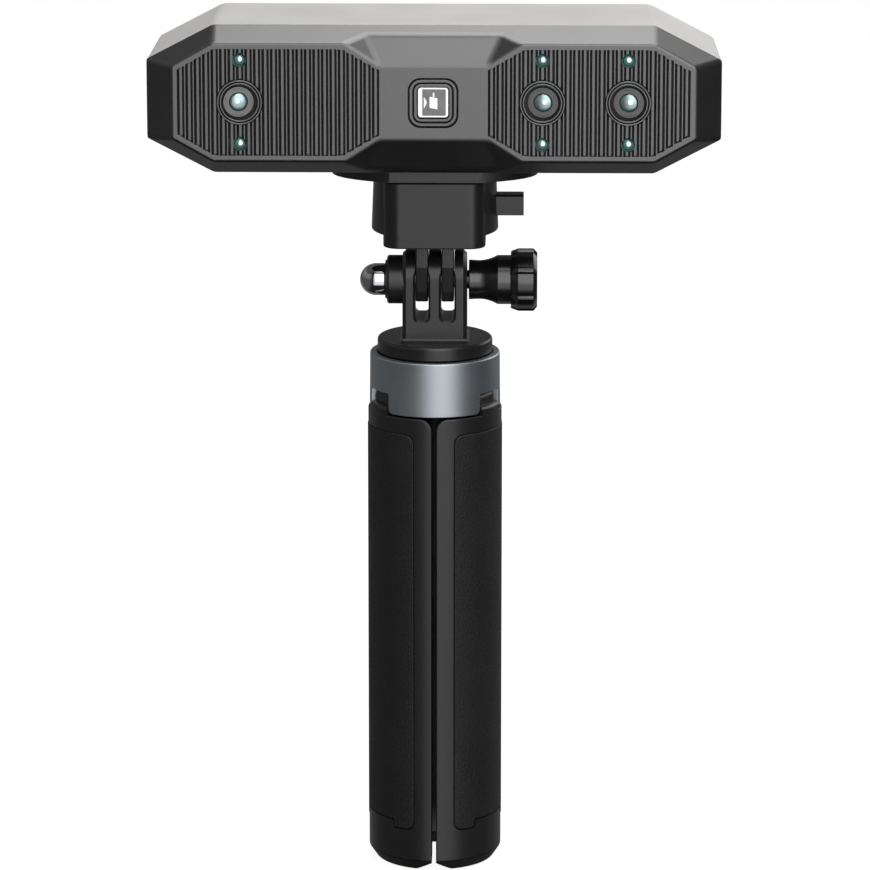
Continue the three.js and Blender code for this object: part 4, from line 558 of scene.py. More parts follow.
def coated(name, middle, edge, blend, smooth, dull, **fixed):
    """Coated glass or resin: one colour seen square on, another at a slant, over faint swirls."""
    tree, shader, place = new_finish(name, **fixed)
    facing = tree.nodes.new("ShaderNodeLayerWeight")
    facing.inputs["Blend"].default_value = blend
    swirl = noise(tree, place, 1 / (SWIRL_SIZE * MM), 2)
    waver = times(tree, maths(tree, "SUBTRACT", swirl, 0.5), SWIRL_SHARE)
    factor = maths(tree, "ADD", facing.outputs["Facing"], waver)
    tree.links.new(blended(tree, factor, (*middle, 1), (*edge, 1)), shader.inputs["Base Color"])
    tree.links.new(spread(tree, swirl, LOW_NOISE, HIGH_NOISE, smooth, dull), shader.inputs["Roughness"])


coated("lens_glass", (0.40, 0.54, 0.55), (0.02, 0.22, 0.08), 0.3, 0.26, 0.34, Metallic=0.8)
coated("lamp_resin", (0.22, 0.55, 0.50), (0.04, 0.18, 0.16), 0.45, 0.1, 0.2, Coat_Weight=1.0)
coated("window_glass", (0.175, 0.175, 0.18), (0.5, 0.5, 0.5), 0.35, 0.1, 0.16, **METAL)
# A white mirror finish for the painted highlights: the glints in lenses and lamps and the window's bright
# marks.
moulded("painted_highlight_mirror", (0.88, 0.89, 0.89), (0.92, 0.93, 0.93), 0.12, 0.2, 0.5, 0.001, **METAL)
print("finishes:", len(finishes))

# %% [markdown]
# ## Floor, world and lights
# The photograph's background is plain white, and the whole frame lies below the horizon, so the floor
# fills it. The floor shines white for camera rays and through glass, and its diffuse part takes the
# object's shadow. Gloss would mirror a studio, not a white page, so gloss rays pass the floor and find
# one in the world: a wide bright panel in front, a dim wall behind, dimmer ones at both sides, and dark
# above and below. That is why the facets that look down are nearly black, and why flat black plastic
# shows pale bands with firm edges.

# %% Floor
FLOOR_REACH, FLOOR_POINTS = 12, 25
FLOOR_GLOW = 0.93
step = np.linspace(-1, 1, FLOOR_POINTS) * FLOOR_REACH
floor_x, floor_y = np.meshgrid(step, step)
floor_points = np.stack([floor_x.ravel(), floor_y.ravel(), np.zeros(floor_x.size)], -1)
floor_mesh = bpy.data.meshes.new("studio_floor")
floor_faces = grid_faces(FLOOR_POINTS, FLOOR_POINTS, wrap=False)
floor_mesh.from_pydata(floor_points.tolist(), [], floor_faces.tolist())
floor = placed("studio_floor", floor_mesh)
floor.visible_glossy = False


def any_of(tree, *values):
    """The largest of some values."""
    kept = values[0]
    for value in values[1:]:
        kept = maths(tree, "MAXIMUM", kept, value)
    return kept


tree, shader, place = new_finish("studio_floor", Roughness=0.9, Specular_IOR_Level=0.0)
ray = tree.nodes.new("ShaderNodeLightPath").outputs
seen = any_of(tree, ray["Is Camera Ray"], ray["Is Transmission Ray"])
mottle = spread(tree, noise(tree, place, 6, 3), LOW_NOISE, HIGH_NOISE, 0.195, 0.205)
shade = tree.nodes.new("ShaderNodeCombineColor")
for channel in range(3):
    tree.links.new(mottle, shade.inputs[channel])
tree.links.new(shade.outputs[0], shader.inputs["Base Color"])
shader.inputs["Emission Color"].default_value = (1, 1, 1, 1)
tree.links.new(times(tree, seen, FLOOR_GLOW), shader.inputs["Emission Strength"])
floor_mesh.materials.append(finishes["studio_floor"])
print("floor:", len(floor_mesh.polygons), "faces")

# %% [markdown]
# The studio in the world is worked out from a ray's direction alone. How far the ray runs ahead and how
# far aside gives its slant, which bounds the panel on both sides, and its height bounds the panel above
# and below. Each wall is a ramp over one part of the direction, and the brightest of them all is what
# gloss sees.

# %% World
PANEL_TURN = math.radians(12)
WORLD_FILL, DARKEST = 0.12, 0.018
world = bpy.data.worlds.new("studio")
bpy.context.scene.world = world
world.use_nodes = True
tree = world.node_tree
background = tree.nodes["Background"]
split = tree.nodes.new("ShaderNodeSeparateXYZ")
tree.links.new(tree.nodes.new("ShaderNodeTexCoord").outputs["Generated"], split.inputs["Vector"])
x, y, z = split.outputs
sine, cosine = math.sin(PANEL_TURN), math.cos(PANEL_TURN)
ahead = maths(tree, "SUBTRACT", times(tree, x, sine), times(tree, y, cosine))
aside = maths(tree, "ADD", times(tree, x, cosine), times(tree, y, sine))
slant = maths(tree, "DIVIDE", maths(tree, "ABSOLUTE", aside), maths(tree, "MAXIMUM", ahead, 0.01))
panel = times(tree, spread(tree, slant, 0.32, 0.66, 1.15, 0.0), spread(tree, z, -0.62, -0.44, 0.0, 1.0))
panel = times(tree, panel, spread(tree, z, 0.6, 0.8, 1.0, 0.0))
far_wall = times(tree, spread(tree, y, 0.2, 0.9, 0.0, 1.0), spread(tree, z, -0.5, 0.1, 0.3, 0.12))
low_edge = spread(tree, z, -0.66, -0.56, 0.0, 1.0)
low_back = spread(tree, y, 0.62, 0.74, 1.5, 0.1)
far_wall = times(tree, far_wall, maths(tree, "MAXIMUM", low_edge, low_back))
left_wall = times(tree, spread(tree, x, -0.7, -0.35, 0.1, 0.0), spread(tree, z, 0.0, 0.4, 1.0, 2.6))
right_wall = spread(tree, x, 0.4, 0.8, 0.0, 0.06)
ray = tree.nodes.new("ShaderNodeLightPath").outputs
glossy = any_of(tree, ray["Is Glossy Ray"], ray["Is Transmission Ray"])
sheen = times(tree, glossy, any_of(tree, panel, far_wall, left_wall, right_wall, DARKEST))
fill = times(tree, ray["Is Diffuse Ray"], WORLD_FILL)
tree.links.new(any_of(tree, ray["Is Camera Ray"], sheen, fill), background.inputs["Strength"])
background.inputs["Color"].default_value = (1, 1, 1, 1)
print("world nodes:", len(tree.nodes))

# %% [markdown]
# Three soft lights make the colours. A large one overhead lights the top and the upper bevels, one in
# front lights the face and the grip, and one at the back right lifts the right end of the shell and the
# grip's right side. Their places and sizes are in metres.

# %% Lights


def area_light(name, place, target, width, height, power):
    """A rectangular soft light at a place that faces a target."""
    data = bpy.data.lights.new(name, "AREA")
    data.shape, data.size, data.size_y, data.energy = "RECTANGLE", width, height, power
    light = placed(name, data)
    offset = np.array(target, float) - np.array(place, float)
    light.location = place
    tilt = math.atan2(math.hypot(offset[0], offset[1]), -offset[2])
    light.rotation_euler = (tilt, 0, math.atan2(-offset[0], offset[1]))
    print(name, power, "W")


area_light("top_light", (0.15, -0.1, 1.3), (0.02, 0, 0.2), 1.0, 0.95, 11.5)
area_light("front_light", (0.22, -1.0, 0.62), (0, 0, 0.17), 0.8, 1.2, 3.9)
area_light("right_light", (0.85, 0.75, 0.8), (0.05, 0, 0.2), 1.1, 1.1, 6.0)
bpy.context.scene.view_settings.view_transform = "Standard"

# %% [markdown]
# ## The legs
# The grip is a tube split into three legs, a third of a turn each, with a narrow slit between each two.
# One leg could be cut from a lathe shape, but its flat sides open out near the top in a round corner, so
# it is a loft instead: at each height a ring sector with its own outer radius and its own gap to the
# slit's middle plane. The knuckle is a side view carried across the leg, and the shoulder that fills the
# collar's window is a second small loft, flush with the leg and round at its top. All three legs are made
# in one place and turned.

# %% Leg helpers
ARC_STEPS, CORE_STEPS, SHOULDER_STEPS = 41, 19, 15
LEG_RADIUS, LEG_CORE_RADIUS, HALF_SLIT, SLIT_FILLET = 19.03, 9.0, 0.6, 0.4
LEG_TOP, LEG_BOTTOM, LEG_CORNER = 133.8, 3.25, 3.3
PIN_FROM_AXIS, PIN_HEIGHT, PIN_RADIUS = 14.2, 137.5, 1.3
KNUCKLE_RADIUS, KNUCKLE_HALF_WIDTH = 2.9, 4.3
SHOULDER_RADIUS, SHOULDER_HALF_WIDTH, SHOULDER_TOP, SHOULDER_CROWN = 19.0, 4.6, 136.2, 1.1


def spun(piece, degrees):
    """The piece's mesh turned about the handle's axis, with its object left unturned."""
    piece.data.transform(Matrix.Rotation(math.radians(degrees), 4, "Z"))
    return piece


def leg_rows(heights, radii, gaps):
    """Ring sectors: an outer arc, fillets, sides a gap away from the planes at 60 degrees, an inner arc."""
    heights, radii, gaps = (np.array(v, float)[:, None] for v in (heights, radii, gaps))
    third, inside = np.pi / 3, radii - SLIT_FILLET
    corner = third - np.arcsin((gaps + SLIT_FILLET) / inside)
    arc = corner * np.linspace(-1, 1, ARC_STEPS)
    turn = corner + (third + np.pi / 2 - corner) * np.linspace(0, 1, 6)[1:]
    round_x = inside * np.cos(corner) + SLIT_FILLET * np.cos(turn)
    round_y = inside * np.sin(corner) + SLIT_FILLET * np.sin(turn)
    core = (third - np.arcsin(gaps / LEG_CORE_RADIUS)) * np.linspace(1, -1, CORE_STEPS)
    across = [radii * np.cos(arc), round_x, LEG_CORE_RADIUS * np.cos(core), round_x[:, ::-1]]
    along = [radii * np.sin(arc), round_y, LEG_CORE_RADIUS * np.sin(core), -round_y[:, ::-1]]
    x, y = np.hstack(across), np.hstack(along)
    return np.stack([x, y, np.broadcast_to(heights, x.shape)], -1)


def leg_neck():
    """The leg's side view near its pin, half round at the top, carried across with its edges broken."""
    angle = np.linspace(0, np.pi, 25)
    knuckle = np.stack([np.cos(angle), np.sin(angle)], -1) * KNUCKLE_RADIUS + (PIN_FROM_AXIS, PIN_HEIGHT)
    feet = [(PIN_FROM_AXIS + side * KNUCKLE_RADIUS, LEG_TOP - 6) for side in (-1, 1)]
    places = np.array([-1, -0.96, -0.88, -0.5, 0, 0.5, 0.88, 0.96, 1]) * KNUCKLE_HALF_WIDTH
    return solid("neck", carried([*feet, *knuckle], "y", places, [0.35, 0.1, 0, 0, 0, 0, 0, 0.1, 0.35]))


def leg_shoulder():
    """The wall in the collar's window: each height has a half width and a radius, less towards the top."""
    crown = quarter(9)
    crown_heights = SHOULDER_TOP - SHOULDER_CROWN * (1 - np.sin(crown))
    heights = np.concatenate([[LEG_TOP - 5, LEG_TOP - 0.1], crown_heights])
    inward = np.concatenate([np.zeros(2), 1 - np.cos(crown)])
    half = SHOULDER_HALF_WIDTH - 0.5 * inward
    radius = SHOULDER_RADIUS - 1.5 * inward
    y = half[:, None] * np.linspace(-1, 1, SHOULDER_STEPS)
    z = np.repeat(heights[:, None], SHOULDER_STEPS, 1)
    outer = np.stack([np.sqrt(radius[:, None] ** 2 - y**2), y, z], -1)
    inner = outer[:, [-1, 0]].copy()
    inner[..., 0] = PIN_FROM_AXIS
    inner[..., 1] *= 0.87
    return solid("shoulder", np.concatenate([outer, inner], 1))


print("a leg's outline has", ARC_STEPS + CORE_STEPS + 10, "points")

# %% [markdown]
# Each leg carries a soft pad in a shallow recess. Seen flat, a pad is a tall plate with round upper
# corners and a short tongue at each lower corner. It is a function of the arc length round the leg and of
# the share of the way from its lower edge to its upper one, where both edges depend on the arc length.
# Growing the outline and lowering the face together, along a quarter circle, rounds the pad's edge; grown
# a little more, the same surface is the tool that cuts the recess.

# %% Grip pad surface
PAD_RADIUS, PAD_FLOOR, PAD_EDGE, PAD_ROWS = 19.18, 18.0, 0.35, 48
PAD_HALF = PAD_RADIUS * math.radians(42.2)
PAD_BOTTOM, PAD_TOP, PAD_TOP_CORNER = 14.8, 129.1, 2.8
TONGUE_DROP, TONGUE_WIDTH, TONGUE_CORNER, TONGUE_RAMP = 2.4, 6.6, 2.4, 0.7


def pad_columns():
    """Arc lengths, as shares of the half width, set close together where the outline bends."""
    tongue = PAD_HALF - TONGUE_WIDTH
    straight = PAD_HALF - PAD_TOP_CORNER
    parts = [np.linspace(0, tongue - 0.5, 16), np.linspace(tongue - 0.35, tongue + 0.35, 6)]
    parts += [np.linspace(tongue + 0.5, straight, 8), straight + PAD_TOP_CORNER * np.sin(quarter(11)[1:])]
    half_side = np.concatenate(parts)
    return np.concatenate([-half_side[:0:-1], half_side]) / PAD_HALF


def pad_face(radius, growth):
    """One face of a pad: arc length and share of the way up give an angle and a height on a cylinder."""
    half = PAD_HALF + growth
    arc = pad_columns() * half
    top = PAD_TOP + growth - round_drop(np.abs(arc) - (half - PAD_TOP_CORNER), PAD_TOP_CORNER)
    past_ramp = np.abs(arc) - (PAD_HALF - TONGUE_WIDTH - growth) + TONGUE_RAMP / 2
    lift = round_drop(np.abs(arc) - (half - TONGUE_CORNER), TONGUE_CORNER)
    bottom = PAD_BOTTOM - growth - TONGUE_DROP * smooth_step(past_ramp / TONGUE_RAMP) + lift
    height = bottom + np.linspace(0, 1, PAD_ROWS)[:, None] * (top - bottom)
    angle = np.broadcast_to(arc / PAD_RADIUS, height.shape)
    return np.stack([radius * np.cos(angle), radius * np.sin(angle), height], -1)


def plate(name, faces):
    """A closed plate from equal grids: the first and last whole, and the rims of all joined in turn."""
    rows, columns = faces[0].shape[:2]
    count = rows * columns
    index = np.arange(count).reshape(rows, columns)
    rim = np.concatenate([index[0], index[1:, -1], index[-1, -2::-1], index[-2:0:-1, 0]])
    flat = [face.reshape(-1, 3) for face in faces]
    points = np.vstack([flat[0], flat[-1], *[face[rim] for face in flat[1:-1]]])
    starts = [rim] + [2 * count + i * len(rim) + np.arange(len(rim)) for i in range(len(faces) - 2)]
    starts.append(rim + count)
    walls = [np.stack([a, np.roll(a, -1), np.roll(b, -1), b], -1) for a, b in zip(starts[:-1], starts[1:])]
    face = grid_faces(rows, columns, wrap=False)
    return raw_object(name, points, np.vstack([face, face[:, ::-1] + count, *walls]))


def grip_pad(name):
    """A pad with its outer edge rounded along a quarter circle."""
    faces = []
    for t in quarter(5):
        faces.append(pad_face(PAD_RADIUS - PAD_EDGE * (1 - math.cos(t)), -PAD_EDGE * (1 - math.sin(t))))
    return plate(name, [*faces, pad_face(PAD_FLOOR, 0)])


print("pad columns:", len(pad_columns()))

# %% [markdown]
# A leg is put together like a moulding: the loft is joined to its knuckle and shoulder, a cone relieves
# its inner top for the hinge hub, and the pad's recess and the pin's hole are cut. The foot is the same
# ring sector drawn in towards the floor, so that the grip's lower end looks bevelled all round.

# %% Legs, pads and feet
LEG_TURNS = {"rear": 90, "left": 210, "right": 330}
RELIEF_BOTTOM, RELIEF_EDGE, RELIEF_RADIUS = 130.6, 133.0, 18.4
RECESS_GROWTH = 0.22
FOOT_LEAN, FOOT_SPREAD, FOOT_EDGE, FOOT_TOP = 2.2, 4.2, 0.3, 3.18


def leg(name):
    """A leg: the loft joined to its neck, less the relief at the top, the recess and the pin's hole."""
    low = [LEG_BOTTOM, LEG_BOTTOM + 0.06, LEG_BOTTOM + 0.2]
    corner = LEG_TOP - LEG_CORNER
    heights = np.concatenate([low, np.linspace(12, 126, 13), corner + LEG_CORNER * np.sin(quarter(14))])
    rim = round_drop(heights - (LEG_TOP - 0.35), 0.35) + round_drop(LEG_BOTTOM + 0.2 - heights, 0.2)
    gaps = HALF_SLIT + round_drop(heights - corner, LEG_CORNER) + rim
    shell = solid(name, leg_rows(heights, LEG_RADIUS - rim, gaps))
    relief = [(0, RELIEF_BOTTOM), (LEG_CORE_RADIUS, RELIEF_BOTTOM), (RELIEF_RADIUS - 0.05, RELIEF_EDGE)]
    relief += [(RELIEF_RADIUS, LEG_TOP + 1), (0, LEG_TOP + 1)]
    carved(shell, lathe("relief", relief, "z", steps=144))
    carved(shell, leg_neck(), leg_shoulder(), operation="UNION")
    recess = plate("recess", [pad_face(20.2, RECESS_GROWTH), pad_face(PAD_FLOOR - 0.1, RECESS_GROWTH)])
    return carved(shell, recess, rod(PIN_RADIUS, -20, 20, "y", (PIN_FROM_AXIS, PIN_HEIGHT), 32))


def foot(name):
    """A rubber foot: the leg's sector, drawn in towards the floor outside and along the slits."""
    heights = np.array([0, 0.06, FOOT_EDGE, 1.3, 2.2, 2.4, 2.6, 3.0, 3.12, FOOT_TOP])
    rim = round_drop(FOOT_EDGE - heights, FOOT_EDGE) + round_drop(heights - (FOOT_TOP - 0.2), 0.2)
    radii = LEG_RADIUS - FOOT_LEAN * (1 - np.clip(heights / LEG_BOTTOM, 0, 1)) - rim
    gaps = HALF_SLIT + FOOT_SPREAD * np.clip(1 - heights / 2.4, 0, 1) + rim
    return solid(name, leg_rows(heights, radii, gaps))


for place, turn in LEG_TURNS.items():
    body = f"{place}_leg"
    finished(spun(leg(f"leg_shell_{place}"), turn), body, "black_plastic", [f"leg_{place}"])
    finished(spun(grip_pad(f"grip_pad_{place}"), turn), body, "grip_rubber", [f"grip_{place}"])
    finished(spun(foot(f"rubber_foot_{place}"), turn), body, "grip_rubber", [f"foot_{place}"])

# %% [markdown]
# ## The collar
# The collar is a thin metal ring with a skirt over each closed leg's middle third and a window at each
# leg's hinge. Its lower edge is therefore a height that depends on the angle: low along a skirt, round at
# the skirt's corners, and high across a window. The ring is one grid that closes both ways: round the
# handle, and round its own wall, down the outside, under the edge, up the inside to a thicker lip and
# over the top.

# %% Collar ring
COLLAR_TOP, COLLAR_TOP_RADIUS, COLLAR_TAPER = 149.8, 18.45, 0.15
SKIRT_BOTTOM, WINDOW_TOP, SKIRT_HALF_ANGLE = 134.3, 140.0, math.radians(44.5)
SKIRT_CORNER, WINDOW_CORNER = 1.5, 0.5
COLLAR_WALL, COLLAR_EDGE, COLLAR_LIP, COLLAR_ROUND = 1.5, 0.28, 2.05, 0.5


def collar_third(growth):
    """Arc lengths and lower edge from a skirt's middle to a window's middle, for a grown outline."""
    side = COLLAR_TOP_RADIUS * SKIRT_HALF_ANGLE + growth
    corner, hollow = SKIRT_CORNER + growth, WINDOW_CORNER - growth
    bend = quarter(7)
    skirt = np.concatenate([np.linspace(0, side - corner, 14)[:-1], side - corner + corner * np.sin(bend)])
    skirt_edge = SKIRT_BOTTOM - growth + round_drop(skirt - (side - corner), corner)
    window = side + 0.004 + hollow * (1 - np.cos(bend))
    window_edge = WINDOW_TOP - growth - hollow + hollow * np.sin(bend)
    flat = np.linspace(window[-1], COLLAR_TOP_RADIUS * math.pi / 3, 6)[1:]
    arc = np.concatenate([skirt, window, flat])
    edge = np.concatenate([skirt_edge, window_edge, np.full(5, WINDOW_TOP - growth)])
    return arc / COLLAR_TOP_RADIUS, edge


def collar_row(depth, growth, share, rise=0.0):
    """One loop of the ring: at every angle a height between top and lower edge, and a depth in the wall."""
    half, edge = collar_third(growth)
    angle = np.concatenate([-half[:0:-1], half[:-1]])
    lower = np.tile(np.concatenate([edge[:0:-1], edge[:-1]]), 3)
    angle = (np.radians([-90, 30, 150])[:, None] + angle).ravel()
    height = COLLAR_TOP + rise + share * (lower - COLLAR_TOP - rise)
    slope = (COLLAR_TOP - height) / (COLLAR_TOP - SKIRT_BOTTOM)
    radius = COLLAR_TOP_RADIUS + COLLAR_TAPER * slope - depth
    return np.stack([radius * np.cos(angle), radius * np.sin(angle), height], -1)


loops = [collar_row(0, -COLLAR_EDGE, share, -COLLAR_ROUND) for share in np.linspace(0, 1, 14)]
for t in quarter(5)[1:]:
    loops.append(collar_row(COLLAR_EDGE * (1 - math.cos(t)), -COLLAR_EDGE * (1 - math.sin(t)), 1))
loops += [collar_row(COLLAR_WALL, 0, share) for share in (1, 0.7, 0.26)]
loops += [collar_row(COLLAR_LIP, 0, share) for share in (0.22, 0)]
for t in quarter(8)[:0:-1]:
    loops.append(collar_row(COLLAR_ROUND * (1 - math.cos(t)), 0, 0, -COLLAR_ROUND * (1 - math.sin(t))))
collar = solid("collar", np.array([*loops, loops[0]]), ends=False)
finished(collar, "handle", "collar_metal", ["collar_ring"])

# %% [markdown]
# ## The tilt head
# Three prongs stand on a low round disc. The disc and the boss for the nut are turned profiles. The
# prongs start as one block, a side view with a round top that is carried across and drawn in at both
# ends, with a small flare at its foot, and two slots with round floors are cut from it. Each slot's tool
# widens at the front and back faces, which leaves the flat chamfer that outlines the slots in the
# photograph.

# %% Prong head
DISC_BOTTOM, DISC_TOP, DISC_RADIUS, DISC_ROUND = 150.1, 154.0, 16.34, 0.85
PIVOT_HEIGHT, PRONG_RADIUS, PRONG_RISE, PRONG_HALF_WIDTH, PRONG_CHAMFER = 170.4, 7.5, 1.1, 9.12, 0.95
SLOT_FLOOR, SLOT_CENTRE, SLOT_HALF_WIDTH, SLOT_CHAMFER, SLOT_TOP = 159.85, 3.65, 1.93, 0.55, 185
FLARE_HALF_WIDTH, FLARE_HALF_DEPTH = 9.9, 8.4
BOSS_RADIUS, BOSS_START, BOSS_END, BOSS_ROUND = 6.92, -8.2, -13.58, 0.75
BORE_RADIUS, STUD_RADIUS, STUD_TOP = 2.7, 3.47, 157.4
AXLE = (0, PIVOT_HEIGHT)


def prong_side(end):
    """The prongs' side view: half a circle a little above the axle, with straight sides to a flat end."""
    angle = np.linspace(0, np.pi, 49)
    x, z = PRONG_RADIUS * np.cos(angle), PIVOT_HEIGHT + PRONG_RISE + PRONG_RADIUS * np.sin(angle)
    return np.vstack([np.stack([x, z], -1), [(x[-1], end), (x[0], end)]])


def prong_slot(centre):
    """One slot's section, round at its floor, carried from front to back and wider at both faces."""
    top = [(SLOT_HALF_WIDTH, SLOT_TOP, 0), (-SLOT_HALF_WIDTH, SLOT_TOP, 0)]
    floor = [(-SLOT_HALF_WIDTH, SLOT_FLOOR, 1.2), (SLOT_HALF_WIDTH, SLOT_FLOOR, 1.2)]
    face, edge = PRONG_RADIUS, SLOT_CHAMFER
    places = [-face - 5, -face, -face + edge, face - edge, face, face + 5]
    section = rounded(top + floor, steps=8) + (centre, 0)
    return solid("slot", carried(section, "y", places, [-edge, -edge, 0, 0, -edge, -edge]))


across = [-PRONG_HALF_WIDTH, -8.1, 8.1, PRONG_HALF_WIDTH]
across_insets = [PRONG_CHAMFER, 0, 0, PRONG_CHAMFER]
prongs = solid("prongs", carried(prong_side(DISC_TOP - 1), "x", across, across_insets))
flare_heights = DISC_TOP - 0.3 + np.array([0, 0.3, 0.45, 0.7, 1.1])
flare_plan = round_box(FLARE_HALF_WIDTH, FLARE_HALF_DEPTH, 1.0)
flare = solid("flare", carried(flare_plan, "z", flare_heights, [0, 0, 0.35, 0.62, 0.85]))
carved(prongs, flare, operation="UNION")
carved(prongs, prong_slot(-SLOT_CENTRE), prong_slot(SLOT_CENTRE))

disc_rim = [(DISC_RADIUS, DISC_BOTTOM, 0.2), (DISC_RADIUS, DISC_TOP, DISC_ROUND)]
head = lathe("tilt_head", rounded([(0, DISC_BOTTOM, 0), *disc_rim, (0, DISC_TOP, 0)]), "z", steps=144)
boss_rim = [(BOSS_RADIUS, BOSS_START, 0), (BOSS_RADIUS, BOSS_END, BOSS_ROUND)]
boss = lathe("boss", rounded([(0, BOSS_START, 0), *boss_rim, (0, BOSS_END, 0)]), "x", AXLE, 72)
carved(head, prongs, boss, operation="UNION")
carved(head, rod(BORE_RADIUS, -20, 20, "x", AXLE), rod(STUD_RADIUS, 140, STUD_TOP, "z"))
finished(head, "handle", "black_plastic", ["prong_head"])

# %% [markdown]
# The nut is a polished dome on a short barrel, with a blind bore for the screw, and the washer is a thin
# ring.

# %% Nut and washer
WASHER_FACE, WASHER_RADIUS = BOSS_END, 5.5
NUT_FACE, NUT_RADIUS, NUT_END, NUT_BORE_END = -14.08, 4.55, -21.28, -18.48
washer_rim = [(WASHER_RADIUS, WASHER_FACE, 0.1), (WASHER_RADIUS, NUT_FACE, 0.18)]
washer_profile = rounded([(BORE_RADIUS, WASHER_FACE, 0), *washer_rim, (BORE_RADIUS, NUT_FACE, 0)])
finished(lathe("washer", washer_profile, "x", AXLE, 72), "handle", "black_plastic", ["nut_washer"])

crown = NUT_RADIUS * np.stack([np.cos(quarter(25)), -np.sin(quarter(25))], -1) + (0, NUT_END + NUT_RADIUS)
nut_mouth = [(0, NUT_BORE_END), (BORE_RADIUS, NUT_BORE_END), (BORE_RADIUS, NUT_FACE), (4.3, NUT_FACE)]
nut_rim = [(4.42, NUT_FACE - 0.05), (4.52, NUT_FACE - 0.2), (NUT_RADIUS, NUT_FACE - 0.4)]
nut = lathe("dome_nut", np.vstack([nut_mouth, nut_rim, crown]), "x", AXLE, 96)
finished(nut, "handle", "chrome", ["acorn_nut"])

# %% [markdown]
# ## The thumb knob
# The knob is one surface of two parameters, the place along the axle and the angle round it. A small boss
# meets the prongs. Along the neck the radius depends only on the place, with a flare that grows as the
# square of the way along it. On the head six narrow ridges stand on a round: the radius is the round's,
# raised to the ridge's by a smooth step of the angle from the nearest middle between two ridges. Both
# ends of the head are bevelled by taking the same drop off all round.

# %% Knob
KNOB_STEPS = 360
BOSS_FRONT, BOSS_SIDE, NECK_START, NECK_END, HEAD_START, KNOB_END = 9.18, 2.65, 9.62, 17.7, 21.5, 29.0
CREST_RADIUS, ROUND_RADIUS, SLEEVE_RADIUS = 8.98, 8.2, 6.98
RIDGE_START, RIDGE_RISE = 22.5, 3.7
FLARE_START, FLARE_RADIUS, FLARE_GROWTH = 12.45, 5.5, 1.38

knob_angle = np.radians(np.arange(0, 360, 360 / KNOB_STEPS))
from_flat = (np.degrees(knob_angle) + 30) % 60 - 30
raised = smooth_step((np.abs(from_flat) - RIDGE_START) / RIDGE_RISE)
lobed = ROUND_RADIUS + (CREST_RADIUS - ROUND_RADIUS) * raised

share = np.linspace(0, 1, 12)
flare_places = FLARE_START + (NECK_END - 0.12 - FLARE_START) * share
neck_flare = np.stack([flare_places, FLARE_RADIUS + FLARE_GROWTH * share**2], -1)
neck_boss = [(BOSS_FRONT, 0), (BOSS_FRONT, BOSS_SIDE - 0.1), (BOSS_FRONT + 0.08, BOSS_SIDE)]
neck_boss.append((NECK_START, BOSS_SIDE))
neck_edge = [(0, 5.4), (0.06, 5.58), (0.2, 5.65), (0.35, 5.65), (0.6, 5.63), (1.38, 5.57), (2.18, 5.53)]
sleeve_places = [NECK_END, NECK_END + 0.1, NECK_END + 0.3, HEAD_START - 0.3, HEAD_START - 0.1, HEAD_START]
sleeve = np.stack([sleeve_places, [6.95, *[SLEEVE_RADIUS] * 4, 6.93]], -1)
round_part = np.vstack([neck_boss, np.array(neck_edge) + (NECK_START, 0), neck_flare, sleeve])
front_bevel = [(0, 7.95), (0.08, 8.15), (0.25, 8.28), (1.6, 8.78), (1.85, 8.87), (2.2, CREST_RADIUS)]
back_bevel = [(-1.15, CREST_RADIUS), (-0.98, 8.86), (-0.84, 8.74), (-0.12, 7.9), (-0.03, 7.75), (0, 7.55)]
ridged_part = np.vstack([np.array(front_bevel) + (HEAD_START, 0), np.array(back_bevel) + (KNOB_END, 0)])
dish = np.array([(0, 5.9), (-0.1, 5.7), (-0.45, 5.45), (-0.45, 0)]) + (KNOB_END, 0)

lobed_radius = lobed[None] - (CREST_RADIUS - ridged_part[:, 1:])
plain, dished = (np.repeat(part[:, 1:], KNOB_STEPS, 1) for part in (round_part, dish))
radii = np.vstack([plain, lobed_radius, dished])
places = np.concatenate([round_part[:, 0], ridged_part[:, 0], dish[:, 0]])
knob_y, knob_z = radii * np.cos(knob_angle), PIVOT_HEIGHT + radii * np.sin(knob_angle)
knob_rows = on_axis("x", np.repeat(places[:, None], KNOB_STEPS, 1), knob_y, knob_z)
knob = solid("thumb_knob", knob_rows, ends=False)
finished(knob, "knob", "gloss_black", ["tilt_knob"])

# %% [markdown]
# ## The quick-release adapter
# Seen from above the adapter is round at the back and flat in front, with round corners between. Its
# sides lean in slightly towards the top, so the outline's round part shrinks from row to row while the
# flat stays where it is. A lower block with the same front carries two tabs for the tilt head. The ways
# for the button's bar and the plate's tenon are cut out of it, because the button really slides in there.

# %% Adapter
BLOCK_BOTTOM, ADAPTER_BOTTOM, ADAPTER_TOP = 182.0, 185.2, 200.8
ADAPTER_RADIUS, ADAPTER_LEAN, ADAPTER_FLAT = 17.95, 0.6, 14.3
BLOCK_HALF_WIDTH, BLOCK_CORNER = 14.4, 4.7
LOWER_EDGE, UPPER_EDGE, BLOCK_EDGE = 0.6, 0.3, 0.4
TAB_RADIUS, TAB_HALF_WIDTH = 6.1, 1.75
TENON_SEAT_FLOOR, TENON_SEAT_RADIUS, BAR_TOP = 196.5, 9.3, 195.4
BAR_WAY, HOOK_WAY = 3.3, 2.3


def arc_points(x, y, radius, first, last, steps):
    """Points of an arc about (x, y) from one angle to another, in degrees."""
    angle = np.radians(np.linspace(first, last, steps))
    return np.stack([x + radius * np.cos(angle), y + radius * np.sin(angle)], -1)


def adapter_outline(radius):
    """Round back from -34 to 214 degrees, then the left corner, the flat and the right corner."""
    x, y = BLOCK_HALF_WIDTH - BLOCK_CORNER, BLOCK_CORNER - ADAPTER_FLAT
    left = arc_points(-x, y, BLOCK_CORNER, 192, 270, 10)
    right = arc_points(x, y, BLOCK_CORNER, -90, -12, 10)
    return np.vstack([arc_points(0, 0, radius, -34, 214, 97), left, right])


